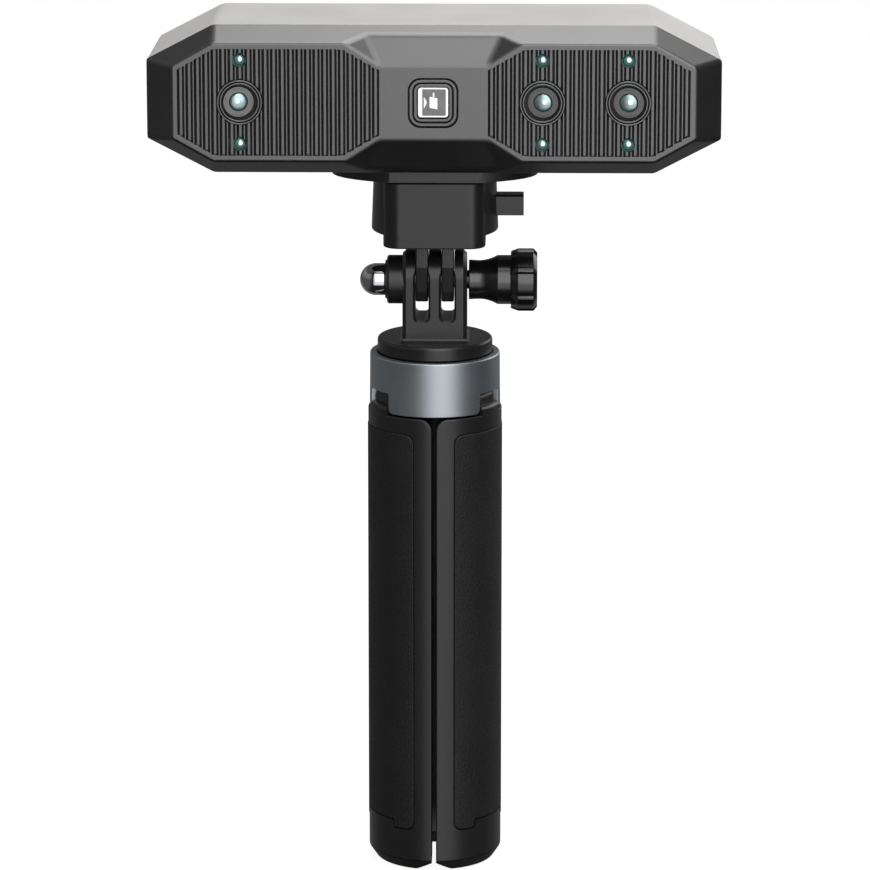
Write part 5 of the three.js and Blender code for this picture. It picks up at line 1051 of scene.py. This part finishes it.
def tab(centre):
    """One tab: a side view that narrows below the knee, carried across and drawn in at both faces."""
    half_side = [(TAB_RADIUS, 183.0, 0), (TAB_RADIUS, 175.0, 0.6), (4.4, 167.6, 1.0), (3.3, 164.5, 1.1)]
    side = half_side + [(-y, z, corner) for y, z, corner in half_side[::-1]]
    places = centre + TAB_HALF_WIDTH * np.array([-1, -0.93, -0.8, 0, 0.8, 0.93, 1])
    return solid("tab", carried(rounded(side)[::-1], "x", places, [0.3, 0.09, 0, 0, 0, 0.09, 0.3]))


inward, upward = 1 - np.sin(quarter(6)), 1 - np.cos(quarter(6))
low_heights = ADAPTER_BOTTOM + LOWER_EDGE * upward
heights = np.concatenate([low_heights, ADAPTER_TOP - UPPER_EDGE * np.cos(quarter(6))])
insets = np.concatenate([LOWER_EDGE * inward, UPPER_EDGE * upward])
shares = (heights - ADAPTER_BOTTOM) / (ADAPTER_TOP - ADAPTER_BOTTOM)
adapter_rows = []
for share, height, inset in zip(shares, heights, insets):
    outline = adapter_outline(ADAPTER_RADIUS - ADAPTER_LEAN * share)
    adapter_rows.append(carried(outline, "z", [height], [inset])[0])
adapter = solid("adapter", adapter_rows)

block_plan = round_box(BLOCK_HALF_WIDTH, ADAPTER_FLAT, BLOCK_CORNER, steps=12)
block_heights = [*(BLOCK_BOTTOM + BLOCK_EDGE * upward), ADAPTER_BOTTOM + 1]
lower_block = solid("lower_block", carried(block_plan, "z", block_heights, [*(BLOCK_EDGE * inward), 0]))
carved(adapter, lower_block, tab(-SLOT_CENTRE), tab(SLOT_CENTRE), operation="UNION")
carved(adapter, rod(BORE_RADIUS, -20, 20, "x", AXLE))
carved(adapter, rod(TENON_SEAT_RADIUS, TENON_SEAT_FLOOR, 202, "z", steps=72))
button_low, button_high = corners_of("release_button")
spring_start = corners_of("latch_spring")[0][0]
carved(adapter, block(spring_start - 0.3, 20, -BAR_WAY, BAR_WAY, button_low[2] - 0.3, BAR_TOP + 0.3))
carved(adapter, block(button_low[0] - 2.8, 0, -HOOK_WAY, HOOK_WAY, button_low[2], button_high[2] + 0.3))
finished(adapter, "scanner", "black_plastic", ["adapter_body"])

# %% [markdown]
# The release button is the model's own solid with its edges broken: a merged copy takes a small bevel.
# The plate above is an ellipse with its front and back cut flat. Only its rim needs a finer surface, so
# the fine ellipse is joined to the model's plate, which keeps the foot, the tenon and the screw's hole.

# %% Release button and mounting plate
PLATE_BOTTOM, PLATE_HALF_WIDTH, PLATE_HALF_DEPTH, PLATE_FLAT = 201.2, 29.07, 16.9, 15.2
PLATE_STEPS, PLATE_HOLE_RADIUS = 240, 3.3
button = softened(copy_of("release_button", "release_tab"), 0.3, angle=40, segments=3)
finished(button, "release", "black_plastic", ["release_button"])

plate_angle = np.linspace(0, 2 * np.pi, PLATE_STEPS, endpoint=False)
plate_heights = PLATE_BOTTOM + np.array([0, 0.05, 0.2, 0.5, 2.7, 3.05, 3.15])
plate_insets = np.array([0.5, 0.3, 0.1, 0, 0, 0.1, 0.2])[:, None]
plate_y = np.clip(PLATE_HALF_DEPTH * np.sin(plate_angle), -PLATE_FLAT, PLATE_FLAT)
rim_x = PLATE_HALF_WIDTH * np.cos(plate_angle) * (1 - plate_insets / PLATE_HALF_WIDTH)
rim_y = plate_y * (1 - plate_insets / PLATE_FLAT)
mount = solid("mount", on_axis("z", np.repeat(plate_heights[:, None], PLATE_STEPS, 1), rim_x, rim_y))
carved(mount, rod(PLATE_HOLE_RADIUS, 190, 210, "z"))
carved(mount, copy_of("mount_plate", "plate_core"), operation="UNION")
finished(mount, "scanner", "black_plastic", ["mount_plate"])

# %% [markdown]
# ## The front housing
# The dark housing is a shallow eight-sided frustum. Its long edges are rounded over more than a
# millimetre, those of its face by about half of that, and its back rim, where the silver shell begins, is
# nearly sharp. So the bare frustum with its centre facets gets a bevel whose width is weighted edge by
# edge, before anything else is cut. The ribs, the camera and lamp holes and the projector's recess are
# cut afterwards, crisp, as the mould makes them.

# %% Housing helpers
FACE_DEPTH, RIM_DEPTH, BACK_DEPTH, MIDDLE = -23.1, -16.7, 23.1, 225.25
HALF_WIDTH, HALF_HEIGHT = 80.0, 20.9
FACE_HALF_WIDTH, FACE_HALF_HEIGHT = 72.75, 16.63
BRIDGE_HALF_WIDTH, BRIDGE_HALF_HEIGHT, FACET_REACH = 14.95, 10.4, {1: 0.47, -1: 0.66}
HOUSING_EDGE, HOUSING_RIM_SHARE, HOUSING_FACE_SHARE = 1.15, 0.12, 0.55


def octagon(half_width, half_height, corner_width, corner_height):
    """An octagon with cut corners about the scanner's middle."""
    right = np.array([(half_width, half_height - corner_height), (half_width - corner_width, half_height)])
    upper = np.vstack([right, right[::-1] * (-1, 1)])
    return np.vstack([upper, -upper]) + (0, MIDDLE)


def lofted(name, *loops):
    """A closed piece between outlines in upright planes, each given with its depth."""
    return solid(name, np.concatenate([carried(outline, "y", [depth]) for outline, depth in loops]))


def hull(name, points):
    """The convex solid round some points."""
    shape = bmesh.new()
    for point in points:
        shape.verts.new([c * MM for c in point])
    made = bmesh.ops.convex_hull(shape, input=shape.verts)
    bmesh.ops.delete(shape, geom=[v for v in made["geom_interior"] + made["geom_unused"]], context="VERTS")
    bmesh.ops.recalc_face_normals(shape, faces=shape.faces)
    mesh = bpy.data.meshes.new(name)
    shape.to_mesh(mesh)
    shape.free()
    return placed(name, mesh)


def facet_cutter(side):
    """The wedge above (side 1) or below (side -1) the face's centre, from the bridge back to the bevel."""
    reach = FACET_REACH[side]
    corners = []
    for hand in (-1, 1):
        bridge = np.array([hand * BRIDGE_HALF_WIDTH, FACE_DEPTH, BRIDGE_HALF_HEIGHT])
        deep = np.array([hand * 18.95, FACE_DEPTH + 6.4 * reach, FACE_HALF_HEIGHT + 4.27 * reach])
        tip = np.array([hand * 24.6, FACE_DEPTH, FACE_HALF_HEIGHT])
        run = (deep - bridge) / np.linalg.norm(deep - bridge)
        past = tip - (bridge + deep) / 2
        outside = np.array([hand * BRIDGE_HALF_WIDTH, FACE_DEPTH - 6.4, 41.8])
        corners += [bridge - run, deep + run, tip + past / np.linalg.norm(past), outside]
    return hull("facet_cutter", [(x, y, MIDDLE + side * z) for x, y, z in corners])


def weighted_bevel(piece, width, rim_share, face_share, segments):
    """A bevel on all real edges, where those in the rim's plane or the face get a share of the width."""
    mesh = piece.data
    merged(mesh, 1)
    ends = np.zeros(len(mesh.edges) * 2, np.int32)
    mesh.edges.foreach_get("vertices", ends)
    depth = np.zeros(len(mesh.vertices) * 3, np.float32)
    mesh.vertices.foreach_get("co", depth)
    depth = depth.reshape(-1, 3)[:, 1]
    weight = np.ones(len(mesh.edges), np.float32)
    for plane, share in ((RIM_DEPTH, rim_share), (FACE_DEPTH, face_share)):
        on_plane = np.abs(depth - plane * MM) < 1e-5
        weight[on_plane[ends].reshape(-1, 2).all(1)] = share
    mesh.attributes.new("bevel_weight_edge", "FLOAT", "EDGE").data.foreach_set("value", weight)
    edge = piece.modifiers.new("soft_edge", "BEVEL")
    edge.width, edge.segments, edge.limit_method = width * MM, segments, "WEIGHT"
    edge.use_clamp_overlap = False
    return applied(piece)


print("helpers for the housing ready")

# %% [markdown]
# The bare body is one loft between two octagons. Two convex wedges cut the facets above and below the
# centre, and leave a bridge for the projector between them.

# %% Housing body
face_outline = octagon(FACE_HALF_WIDTH, FACE_HALF_HEIGHT, 11.4, 6.4)
rim_outline = octagon(HALF_WIDTH, HALF_HEIGHT, 18.6, 9.7)
housing = lofted("housing", (face_outline, FACE_DEPTH), (rim_outline, RIM_DEPTH))
carved(housing, facet_cutter(1), facet_cutter(-1))
weighted_bevel(housing, HOUSING_EDGE, HOUSING_RIM_SHARE, HOUSING_FACE_SHARE, segments=6)
print("housing body:", len(housing.data.polygons), "faces")

# %% [markdown]
# Each ribbed panel is an octagon filled with upright grooves. A groove is a trough with leaning walls,
# which is what makes each one show as two dark lines with a paler floor between them. All grooves are
# worked out together as arrays: their middles along the panel, the reach of the octagon at each groove's
# left and right edge, and the four corners of the trough's section at both ends.

# %% Ribs
RIB_INNER, RIB_OUTER, RIB_HALF_HEIGHT = 14.8, 71.4, 15.1
RIB_CUT_WIDTH, RIB_CUT_HEIGHT = 10.3, 6.0
RIB_PITCH, GROOVE_TOP, GROOVE_FLOOR, GROOVE_DEPTH = 2.35, 1.70, 0.66, 1.0


def panel_reach(offset):
    """Half the panel's height at a distance from its own middle, less where the corners are cut."""
    straight = (RIB_OUTER - RIB_INNER) / 2 - RIB_CUT_WIDTH
    past = np.clip(np.abs(offset) - straight, 0, None)
    return RIB_HALF_HEIGHT - RIB_CUT_HEIGHT * past / RIB_CUT_WIDTH


def groove_cutters():
    """All troughs as one mesh, with eight corners each: left and right, outside and floor, low and high."""
    count = int((RIB_OUTER - RIB_INNER + RIB_PITCH - GROOVE_TOP) / RIB_PITCH)
    middle = (np.arange(count) - (count - 1) / 2)[:, None] * RIB_PITCH
    run = (GROOVE_TOP - GROOVE_FLOOR) / GROOVE_DEPTH
    half = np.array([GROOVE_TOP + run, GROOVE_FLOOR]) / 2
    depth = np.array([FACE_DEPTH - 0.5, FACE_DEPTH + GROOVE_DEPTH])
    side, level, end = (v.ravel() for v in np.meshgrid([-1, 1], [0, 1], [-1, 1], indexing="ij"))
    x = middle + side * half[level]
    y = np.broadcast_to(depth[level], x.shape)
    z = MIDDLE + end * (panel_reach(middle + side * GROOVE_TOP / 2) - level * 0.3)
    panels = [x + hand * (RIB_INNER + RIB_OUTER) / 2 for hand in (-1, 1)]
    boxes = np.concatenate([np.stack([panel_x, y, z], -1) for panel_x in panels])
    corner = np.array([[0, 1, 3, 2], [4, 6, 7, 5], [0, 4, 5, 1], [2, 3, 7, 6], [0, 2, 6, 4], [1, 5, 7, 3]])
    faces = corner[None] + 8 * np.arange(len(boxes))[:, None, None]
    return raw_object("grooves", boxes, faces.reshape(-1, 4))


carved(housing, groove_cutters())
print("housing with its grooves:", len(housing.data.polygons), "faces")

# %% [markdown]
# Every opening in the face is turned or square, so each one is a rod or a rounded square. The cameras'
# seats go in from the face, the lamps' holes run across the ribs, and a shallow pocket behind makes the
# front a wall of about two millimetres, as in the model.

# %% Openings of the housing
FRONT_WALL, POCKET_BACK = -20.9, -10
CAMERA_X = {name: middle_of(f"camera_holder_{name}")[0] for name in ("left", "middle", "right")}
SEAT_RADIUS, LAMP_RISE, LAMP_HOLE_RADIUS = 6.5, 11.8, 2.0
PROJECTOR_MIDDLE = (-0.14, MIDDLE)


def square(half, corner):
    """A rounded square about the projector's middle."""
    return round_box(half, half, corner, PROJECTOR_MIDDLE, steps=8)


holes = []
for x in CAMERA_X.values():
    holes.append(rod(SEAT_RADIUS, -24, -20, "y", (x, MIDDLE), 96))
for x in CAMERA_X.values():
    for side in (-1, 1):
        holes.append(rod(LAMP_HOLE_RADIUS, -24, -20, "y", (x, MIDDLE + side * LAMP_RISE), 48))
holes.append(solid("projector_seat", carried(square(7.05, 3.6), "y", [-24, -20])))
for x0, x1, half in ((-68, 68, 12), (-68, -26.8, 14.3), (26.8, 68, 14.3)):
    holes.append(block(x0, x1, FRONT_WALL, POCKET_BACK, MIDDLE - half, MIDDLE + half))
carved(housing, *holes)
finished(housing, "scanner", "dark_housing", ["front_housing"])

# %% [markdown]
# ## The rear shell
# The silver shell carries the same eight sides on to the back, leaning in very slightly. Its back edges
# are rounded by about a millimetre, and the edge that meets the dark housing stays crisp, so the colours
# meet on a line.

# %% Rear shell
BACK_WALL, SHELL_EDGE, SHELL_RIM_SHARE = 21.1, 1.1, 0.15
BUTTON_PLACE = (0.0, MIDDLE + 6.0)
SCREWS = (1, 2, 3, 4)
back_outline = octagon(HALF_WIDTH - 1.0, HALF_HEIGHT - 0.35, 18.4, 9.6)
shell = lofted("shell", (rim_outline, RIM_DEPTH), (back_outline, BACK_DEPTH))
weighted_bevel(shell, SHELL_EDGE, SHELL_RIM_SHARE, 1.0, segments=5)
inner_outline = octagon(HALF_WIDTH - 2.9, HALF_HEIGHT - 2.3, 17.6, 9.2)
carved(shell, lofted("inside", (inner_outline, RIM_DEPTH - 1), (inner_outline, BACK_WALL)))

button_hole = [(0, 19), (5.8, 19), (5.8, 22.8), (6.1, BACK_DEPTH), (6.1, 24), (0, 24)]
carved(shell, lathe("button_hole", button_hole, "y", BUTTON_PLACE, 96))
screw_hole = [(0, 19), (1.5, 19), (1.5, 21.7), (2.7, 21.7), (2.7, 24), (0, 24)]
for i in SCREWS:
    x, _, z = middle_of(f"housing_screw_{i}")
    carved(shell, lathe("screw_hole", screw_hole, "y", (x, z), 48))
(x0, _, z0), (x1, _, z1) = corners_of("cable_socket")
carved(shell, block(x0 - 0.25, x1 + 0.25, 19, 24, z0 - 0.25, z1 + 0.25))
finished(shell, "scanner", "silver_shell", ["rear_shell"])

# %% [markdown]
# ## Cameras and lamps
# Around each camera stand two thin rings. A ring of dark rubber lies deep inside them, painted shade that
# keeps the gap round the holder black. The holder is a disc with four short arc-shaped slots, and its lens
# is a shallow dome with a coating. In the photograph the left camera looks a little to the right and the
# other two a little to the left, towards what is being scanned, so each holder is turned in with its lens.
# A small bright plate inside each lens and each lamp is a painted highlight, the glint of the studio light
# on the dome. All of these are turned about the camera's own axis.

# %% Camera and lamp helpers
RING_RADII = ((6.25, 5.84), (5.48, 5.08))
RING_FRONT, RING_FLOOR, RING_BACK, RING_EDGE = -23.08, -21.2, -20.95, 0.06
# The dark rubber ring in each camera's gap is painted shade; these are its front and its inner radius.
PAINTED_SHADE_FRONT, PAINTED_SHADE_RADIUS = -21.45, 4.0
HOLDER_FRONT, HOLDER_BACK, HOLDER_RADIUS = -22.0, -20.5, 4.3
SLOT_ARC_RADIUS, SLOT_ARC_WIDTH, SLOT_ARC_REACH, SLOT_ARC_DEPTH = 3.72, 0.26, 25, 0.3
LENS_RADIUS = 2.45


def camera_rings(name, x):
    """Both rings about a camera, joined by the web behind them."""
    (a, b), (c, d) = RING_RADII
    edge, shoulder = RING_EDGE, RING_FRONT + RING_EDGE
    inner = [(d, RING_BACK), (d, shoulder), (d + edge, RING_FRONT), (c - edge, RING_FRONT), (c, shoulder)]
    outer = [(b, shoulder), (b + edge, RING_FRONT), (a - edge, RING_FRONT), (a, shoulder), (a, RING_FLOOR)]
    web = [(SEAT_RADIUS - 0.02, RING_FLOOR), (SEAT_RADIUS - 0.02, RING_BACK)]
    profile = [*inner, (c, RING_FLOOR), (b, RING_FLOOR), *outer, *web]
    return lathe(name, profile, "y", (x, MIDDLE), 128)


def arc_slot(x, middle):
    """A cutter for a slot along an arc about the camera's axis."""
    angle = np.radians(np.linspace(middle - SLOT_ARC_REACH, middle + SLOT_ARC_REACH, 13))
    ray = np.stack([np.cos(angle), np.sin(angle)], -1)
    far, near = SLOT_ARC_RADIUS + SLOT_ARC_WIDTH / 2, SLOT_ARC_RADIUS - SLOT_ARC_WIDTH / 2
    plan = np.vstack([ray * far, ray[::-1] * near]) + (x, MIDDLE)
    return solid("arc_slot", carried(plan, "y", [HOLDER_FRONT - 1, HOLDER_FRONT + SLOT_ARC_DEPTH]))


def camera_holder(name, x):
    """The disc with its four slots and the bore for the lens."""
    bore = LENS_RADIUS + 0.05
    profile = [(bore, HOLDER_BACK), (bore, HOLDER_FRONT + 0.15), (LENS_RADIUS + 0.2, HOLDER_FRONT)]
    profile += [(HOLDER_RADIUS - 0.1, HOLDER_FRONT), (HOLDER_RADIUS, HOLDER_FRONT + 0.1)]
    disc = lathe(name, [*profile, (HOLDER_RADIUS, HOLDER_BACK)], "y", (x, MIDDLE), 96)
    return carved(disc, *[arc_slot(x, turn) for turn in (0, 90, 180, 270)])


def dome(name, radius, tip, rise, back, x, z):
    """A shallow dome on a short rod: the depth grows with one less the cosine, the radius with the sine."""
    crown = [(radius * np.sin(t), tip + rise * (1 - np.cos(t))) for t in quarter(14)]
    return lathe(name, [*crown, (radius, back), (0, back)], "y", (x, z), 64)


def toed(piece, x, degrees):
    """The piece turned about an upright line through the camera's front."""
    there = Matrix.Translation((x * MM, HOLDER_FRONT * MM, 0))
    turn = Matrix.Rotation(math.radians(degrees), 4, "Z")
    piece.data.transform(there @ turn @ there.inverted())
    return piece


print("cameras at", {name: round(x, 2) for name, x in CAMERA_X.items()})

# %% [markdown]
# Each camera has its own turn, its own small shift of the holder and its own place for the glint, all
# measured in the photograph. A lamp is a round bead of resin with a flange that fills its hole behind the
# ribs. The bead is finished before the flange joins it as well as after. That leaves the edge where the
# two meet softly shaded, and the lamp's rim dark.

# %% Cameras and lamps
TOE_IN = {"left": 8.0, "middle": -5.0, "right": -5.0}
HOLDER_SHIFT = {"left": -0.32, "middle": 0.15, "right": 0.15}
GLINT_SHIFT = {"left": -0.33, "middle": 0.45, "right": 0.4}
BEAD_RADIUS, BEAD_TIP, BEAD_RISE, BEAD_BACK = 1.5, -22.7, 0.9, -20.9

for name, x in CAMERA_X.items():
    own_x, toe = x + HOLDER_SHIFT[name], TOE_IN[name]
    finished(camera_rings(f"rings_{name}", x), "scanner", "dark_housing")
    # A dark rubber ring deep in the gap round the holder is painted shade: it keeps the gap black.
    far, near = SEAT_RADIUS - 0.01, PAINTED_SHADE_RADIUS
    painted_shade_ring = [(near, RING_FLOOR), (near, PAINTED_SHADE_FRONT), (far, PAINTED_SHADE_FRONT), (far, RING_FLOOR)]
    finished(lathe(f"gasket_{name}", painted_shade_ring, "y", (x, MIDDLE), 96), "scanner", "grip_rubber")
    holder = toed(camera_holder(f"holder_{name}", own_x), own_x, toe)
    finished(holder, "scanner", "dark_housing", [f"camera_holder_{name}"])
    lens = toed(dome(f"lens_{name}", LENS_RADIUS, -22.75, 0.55, -19.5, own_x, MIDDLE), own_x, toe)
    finished(lens, "scanner", "lens_glass", [f"camera_lens_{name}"])
    # The bright plate under the lens's face is a painted highlight, the glint of the studio light.
    glint = dome(f"painted_glint_{name}", 0.75, -22.84, 0.04, -22.6, own_x + GLINT_SHIFT[name], MIDDLE + 0.28)
    finished(glint, "scanner", "painted_highlight_mirror")
    for side, word in ((1, "top"), (-1, "bottom")):
        z = MIDDLE + side * LAMP_RISE
        bead = dome(f"bead_{name}_{word}", BEAD_RADIUS, BEAD_TIP, BEAD_RISE, BEAD_BACK, x, z)
        finished(bead, "scanner", "lamp_resin")
        carved(bead, rod(LAMP_HOLE_RADIUS, -20.95, -20.3, "y", (x, z), 48), operation="UNION")
        finished(bead, "scanner", "lamp_resin", [f"lamp_{name}_{word}"])
        # The bright plate under the bead's face is a painted highlight, the glint of the studio light.
        painted_lamp_glint = dome(f"spark_{name}_{word}", 0.78, -22.86, 0.12, -22.4, x + 0.05, z + 0.25)
        finished(painted_lamp_glint, "scanner", "painted_highlight_mirror")

# %% [markdown]
# ## The projector
# Two square frames stand one inside the other in the middle of the face, with a ring of dark rubber deep
# between them as painted shade, and the window in the inner one. The window is a thick dark pane. Its
# bright sides, widest at the left, are its edge with a painted reflection on it, and three painted
# highlights show on it. The pane, its sides and the highlights are separate closed pieces, because each
# has its own finish.

# %% Projector frames and window
FRAME_FRONT, FRAME_EDGE, BASE_EDGE = -22.85, 0.08, 0.02
WINDOW_HALF, PANE_FRONT, PANE_CORNER, PANE_EDGE = 4.17, -22.1, 0.85, 0.15


def square_ring(name, outer, inner, corner, front, back, edge):
    """A square frame: an outer block with its front edge broken, less a plain block."""
    row = carried(square(outer, corner), "y", [front, front + edge, back], [edge, 0, 0])
    hole = carried(square(inner, max(corner - outer + inner, 0.3)), "y", [front - 1, back + 1])
    return carved(solid(name, row), solid("hole", hole))


frames = square_ring("window_frames", 6.55, 5.8, 3.3, FRAME_FRONT, -21.1, FRAME_EDGE)
inner_frame = square_ring("inner_frame", 5.27, 4.55, 1.9, FRAME_FRONT, -21.1, FRAME_EDGE)
base = square_ring("frame_base", 7.0, 4.55, 3.6, RING_FLOOR, RING_BACK, BASE_EDGE)
carved(frames, inner_frame, base, operation="UNION")
finished(frames, "scanner", "dark_housing", ["projector_bezel"])
# A dark rubber ring deep between the two frames is painted shade: it keeps the gap between them black.
painted_shade_ring = square_ring("window_painted_shade_ring", 7.04, 4.2, 3.6, -21.5, RING_FLOOR, BASE_EDGE)
finished(painted_shade_ring, "scanner", "grip_rubber")

pane_depths = [PANE_FRONT, PANE_FRONT + PANE_EDGE, FRONT_WALL]
pane = solid("window_pane", carried(square(WINDOW_HALF, PANE_CORNER), "y", pane_depths, [PANE_EDGE, 0, 0]))
finished(pane, "scanner", "window_glass", ["projector_window"])

# %% [markdown]
# The window's bright sides are a thin plate on the pane with a hole of uneven margins, a painted
# reflection on the pane's edge, and the three painted highlights are smaller plates of the same kind,
# drawn as outlines measured from the pane's middle.

# %% Window sides and facets


def facet(name, corners):
    """A thin closed plate on the pane, a painted highlight, from corners measured from the pane's middle.
    """
    outline = np.array(corners) + PROJECTOR_MIDDLE
    depths = [PANE_FRONT - 0.08, PANE_FRONT - 0.05, PANE_FRONT + 0.1]
    finished(solid(name, carried(outline, "y", depths, [0.03, 0, 0])), "scanner", "painted_highlight_mirror")


# A bright plate round the pane's edge: a painted reflection, widest at the left.
side_plate = carried(square(WINDOW_HALF - 0.02, PANE_CORNER), "y", [PANE_FRONT - 0.1, PANE_FRONT + 0.1])
side_hole = rounded([(3.53, 3.75, 0.3), (-3.03, 3.75, 0.1), (-3.03, -3.75, 0.1), (3.53, -3.75, 0.4)], 5)
hole = solid("hole", carried(side_hole + PROJECTOR_MIDDLE, "y", [-23, -21.5]))
finished(carved(solid("window_sides_painted_reflection", side_plate), hole), "scanner", "painted_highlight_mirror")
# Three small bright plates on the pane are painted highlights.
facet("painted_highlight_large", [(-1.0, 1.6), (1.2, 1.2), (1.2, -1.9), (-1.0, -1.5)])
facet("painted_highlight_small", [(-2.6, 1.55), (-1.75, 0.25), (-1.75, -0.2), (-2.6, -1.8)])
facet("painted_highlight_strip", [(-0.1, 2.7), (0.35, 2.7), (0.35, 1.5), (-0.1, 1.5)])

# %% [markdown]
# ## The rear face
# The photograph doesn't show the back. It gets a dished button with a stem and a collar behind the wall,
# a socket for the cable and four screws with slotted heads, each in its own recess.

# %% Rear button, socket and screws
CAP_RADIUS, DISH_RADIUS, DISH_DEPTH = 5.5, 4.4, 0.55
stem_end, cap_face = (corner[1] for corner in corners_of("scan_button"))
cap = [(DISH_RADIUS * s, cap_face - DISH_DEPTH * (1 - s * s)) for s in np.linspace(0, 1, 10)]
cap += [(5.0, cap_face), (5.3, cap_face - 0.06), (CAP_RADIUS, cap_face - 0.3), (CAP_RADIUS, 20.85)]
cap += [(6.7, 20.85), (6.7, 19.9), (1.5, 19.9), (1.5, stem_end), (0, stem_end)]
trigger = lathe("trigger_cap", cap, "y", BUTTON_PLACE, 96)
finished(trigger, "trigger", "black_plastic", ["scan_button"])
for i in SCREWS:
    screw = softened(copy_of(f"housing_screw_{i}", f"shell_screw_{i}"), 0.12, angle=50, segments=2)
    finished(screw, "scanner", "steel", [f"housing_screw_{i}"])

# %% [markdown]
# ## Pieces that stay as modelled
# The rest is hidden inside or seen only through a slit, so it keeps the model's own surface. Each node
# still gets a finish for its material slot, so that nothing is left plain.

# %% Finishes for the model's own pieces
slot_of_node = {row["node"]: row["material_slot"] for row in frame["record"]["subparts"]}
for node, piece in nodes.items():
    piece.data.materials.clear()
    piece.data.materials.append(finishes[slot_of_node[node]])
print("finished nodes:", len(slot_of_node))
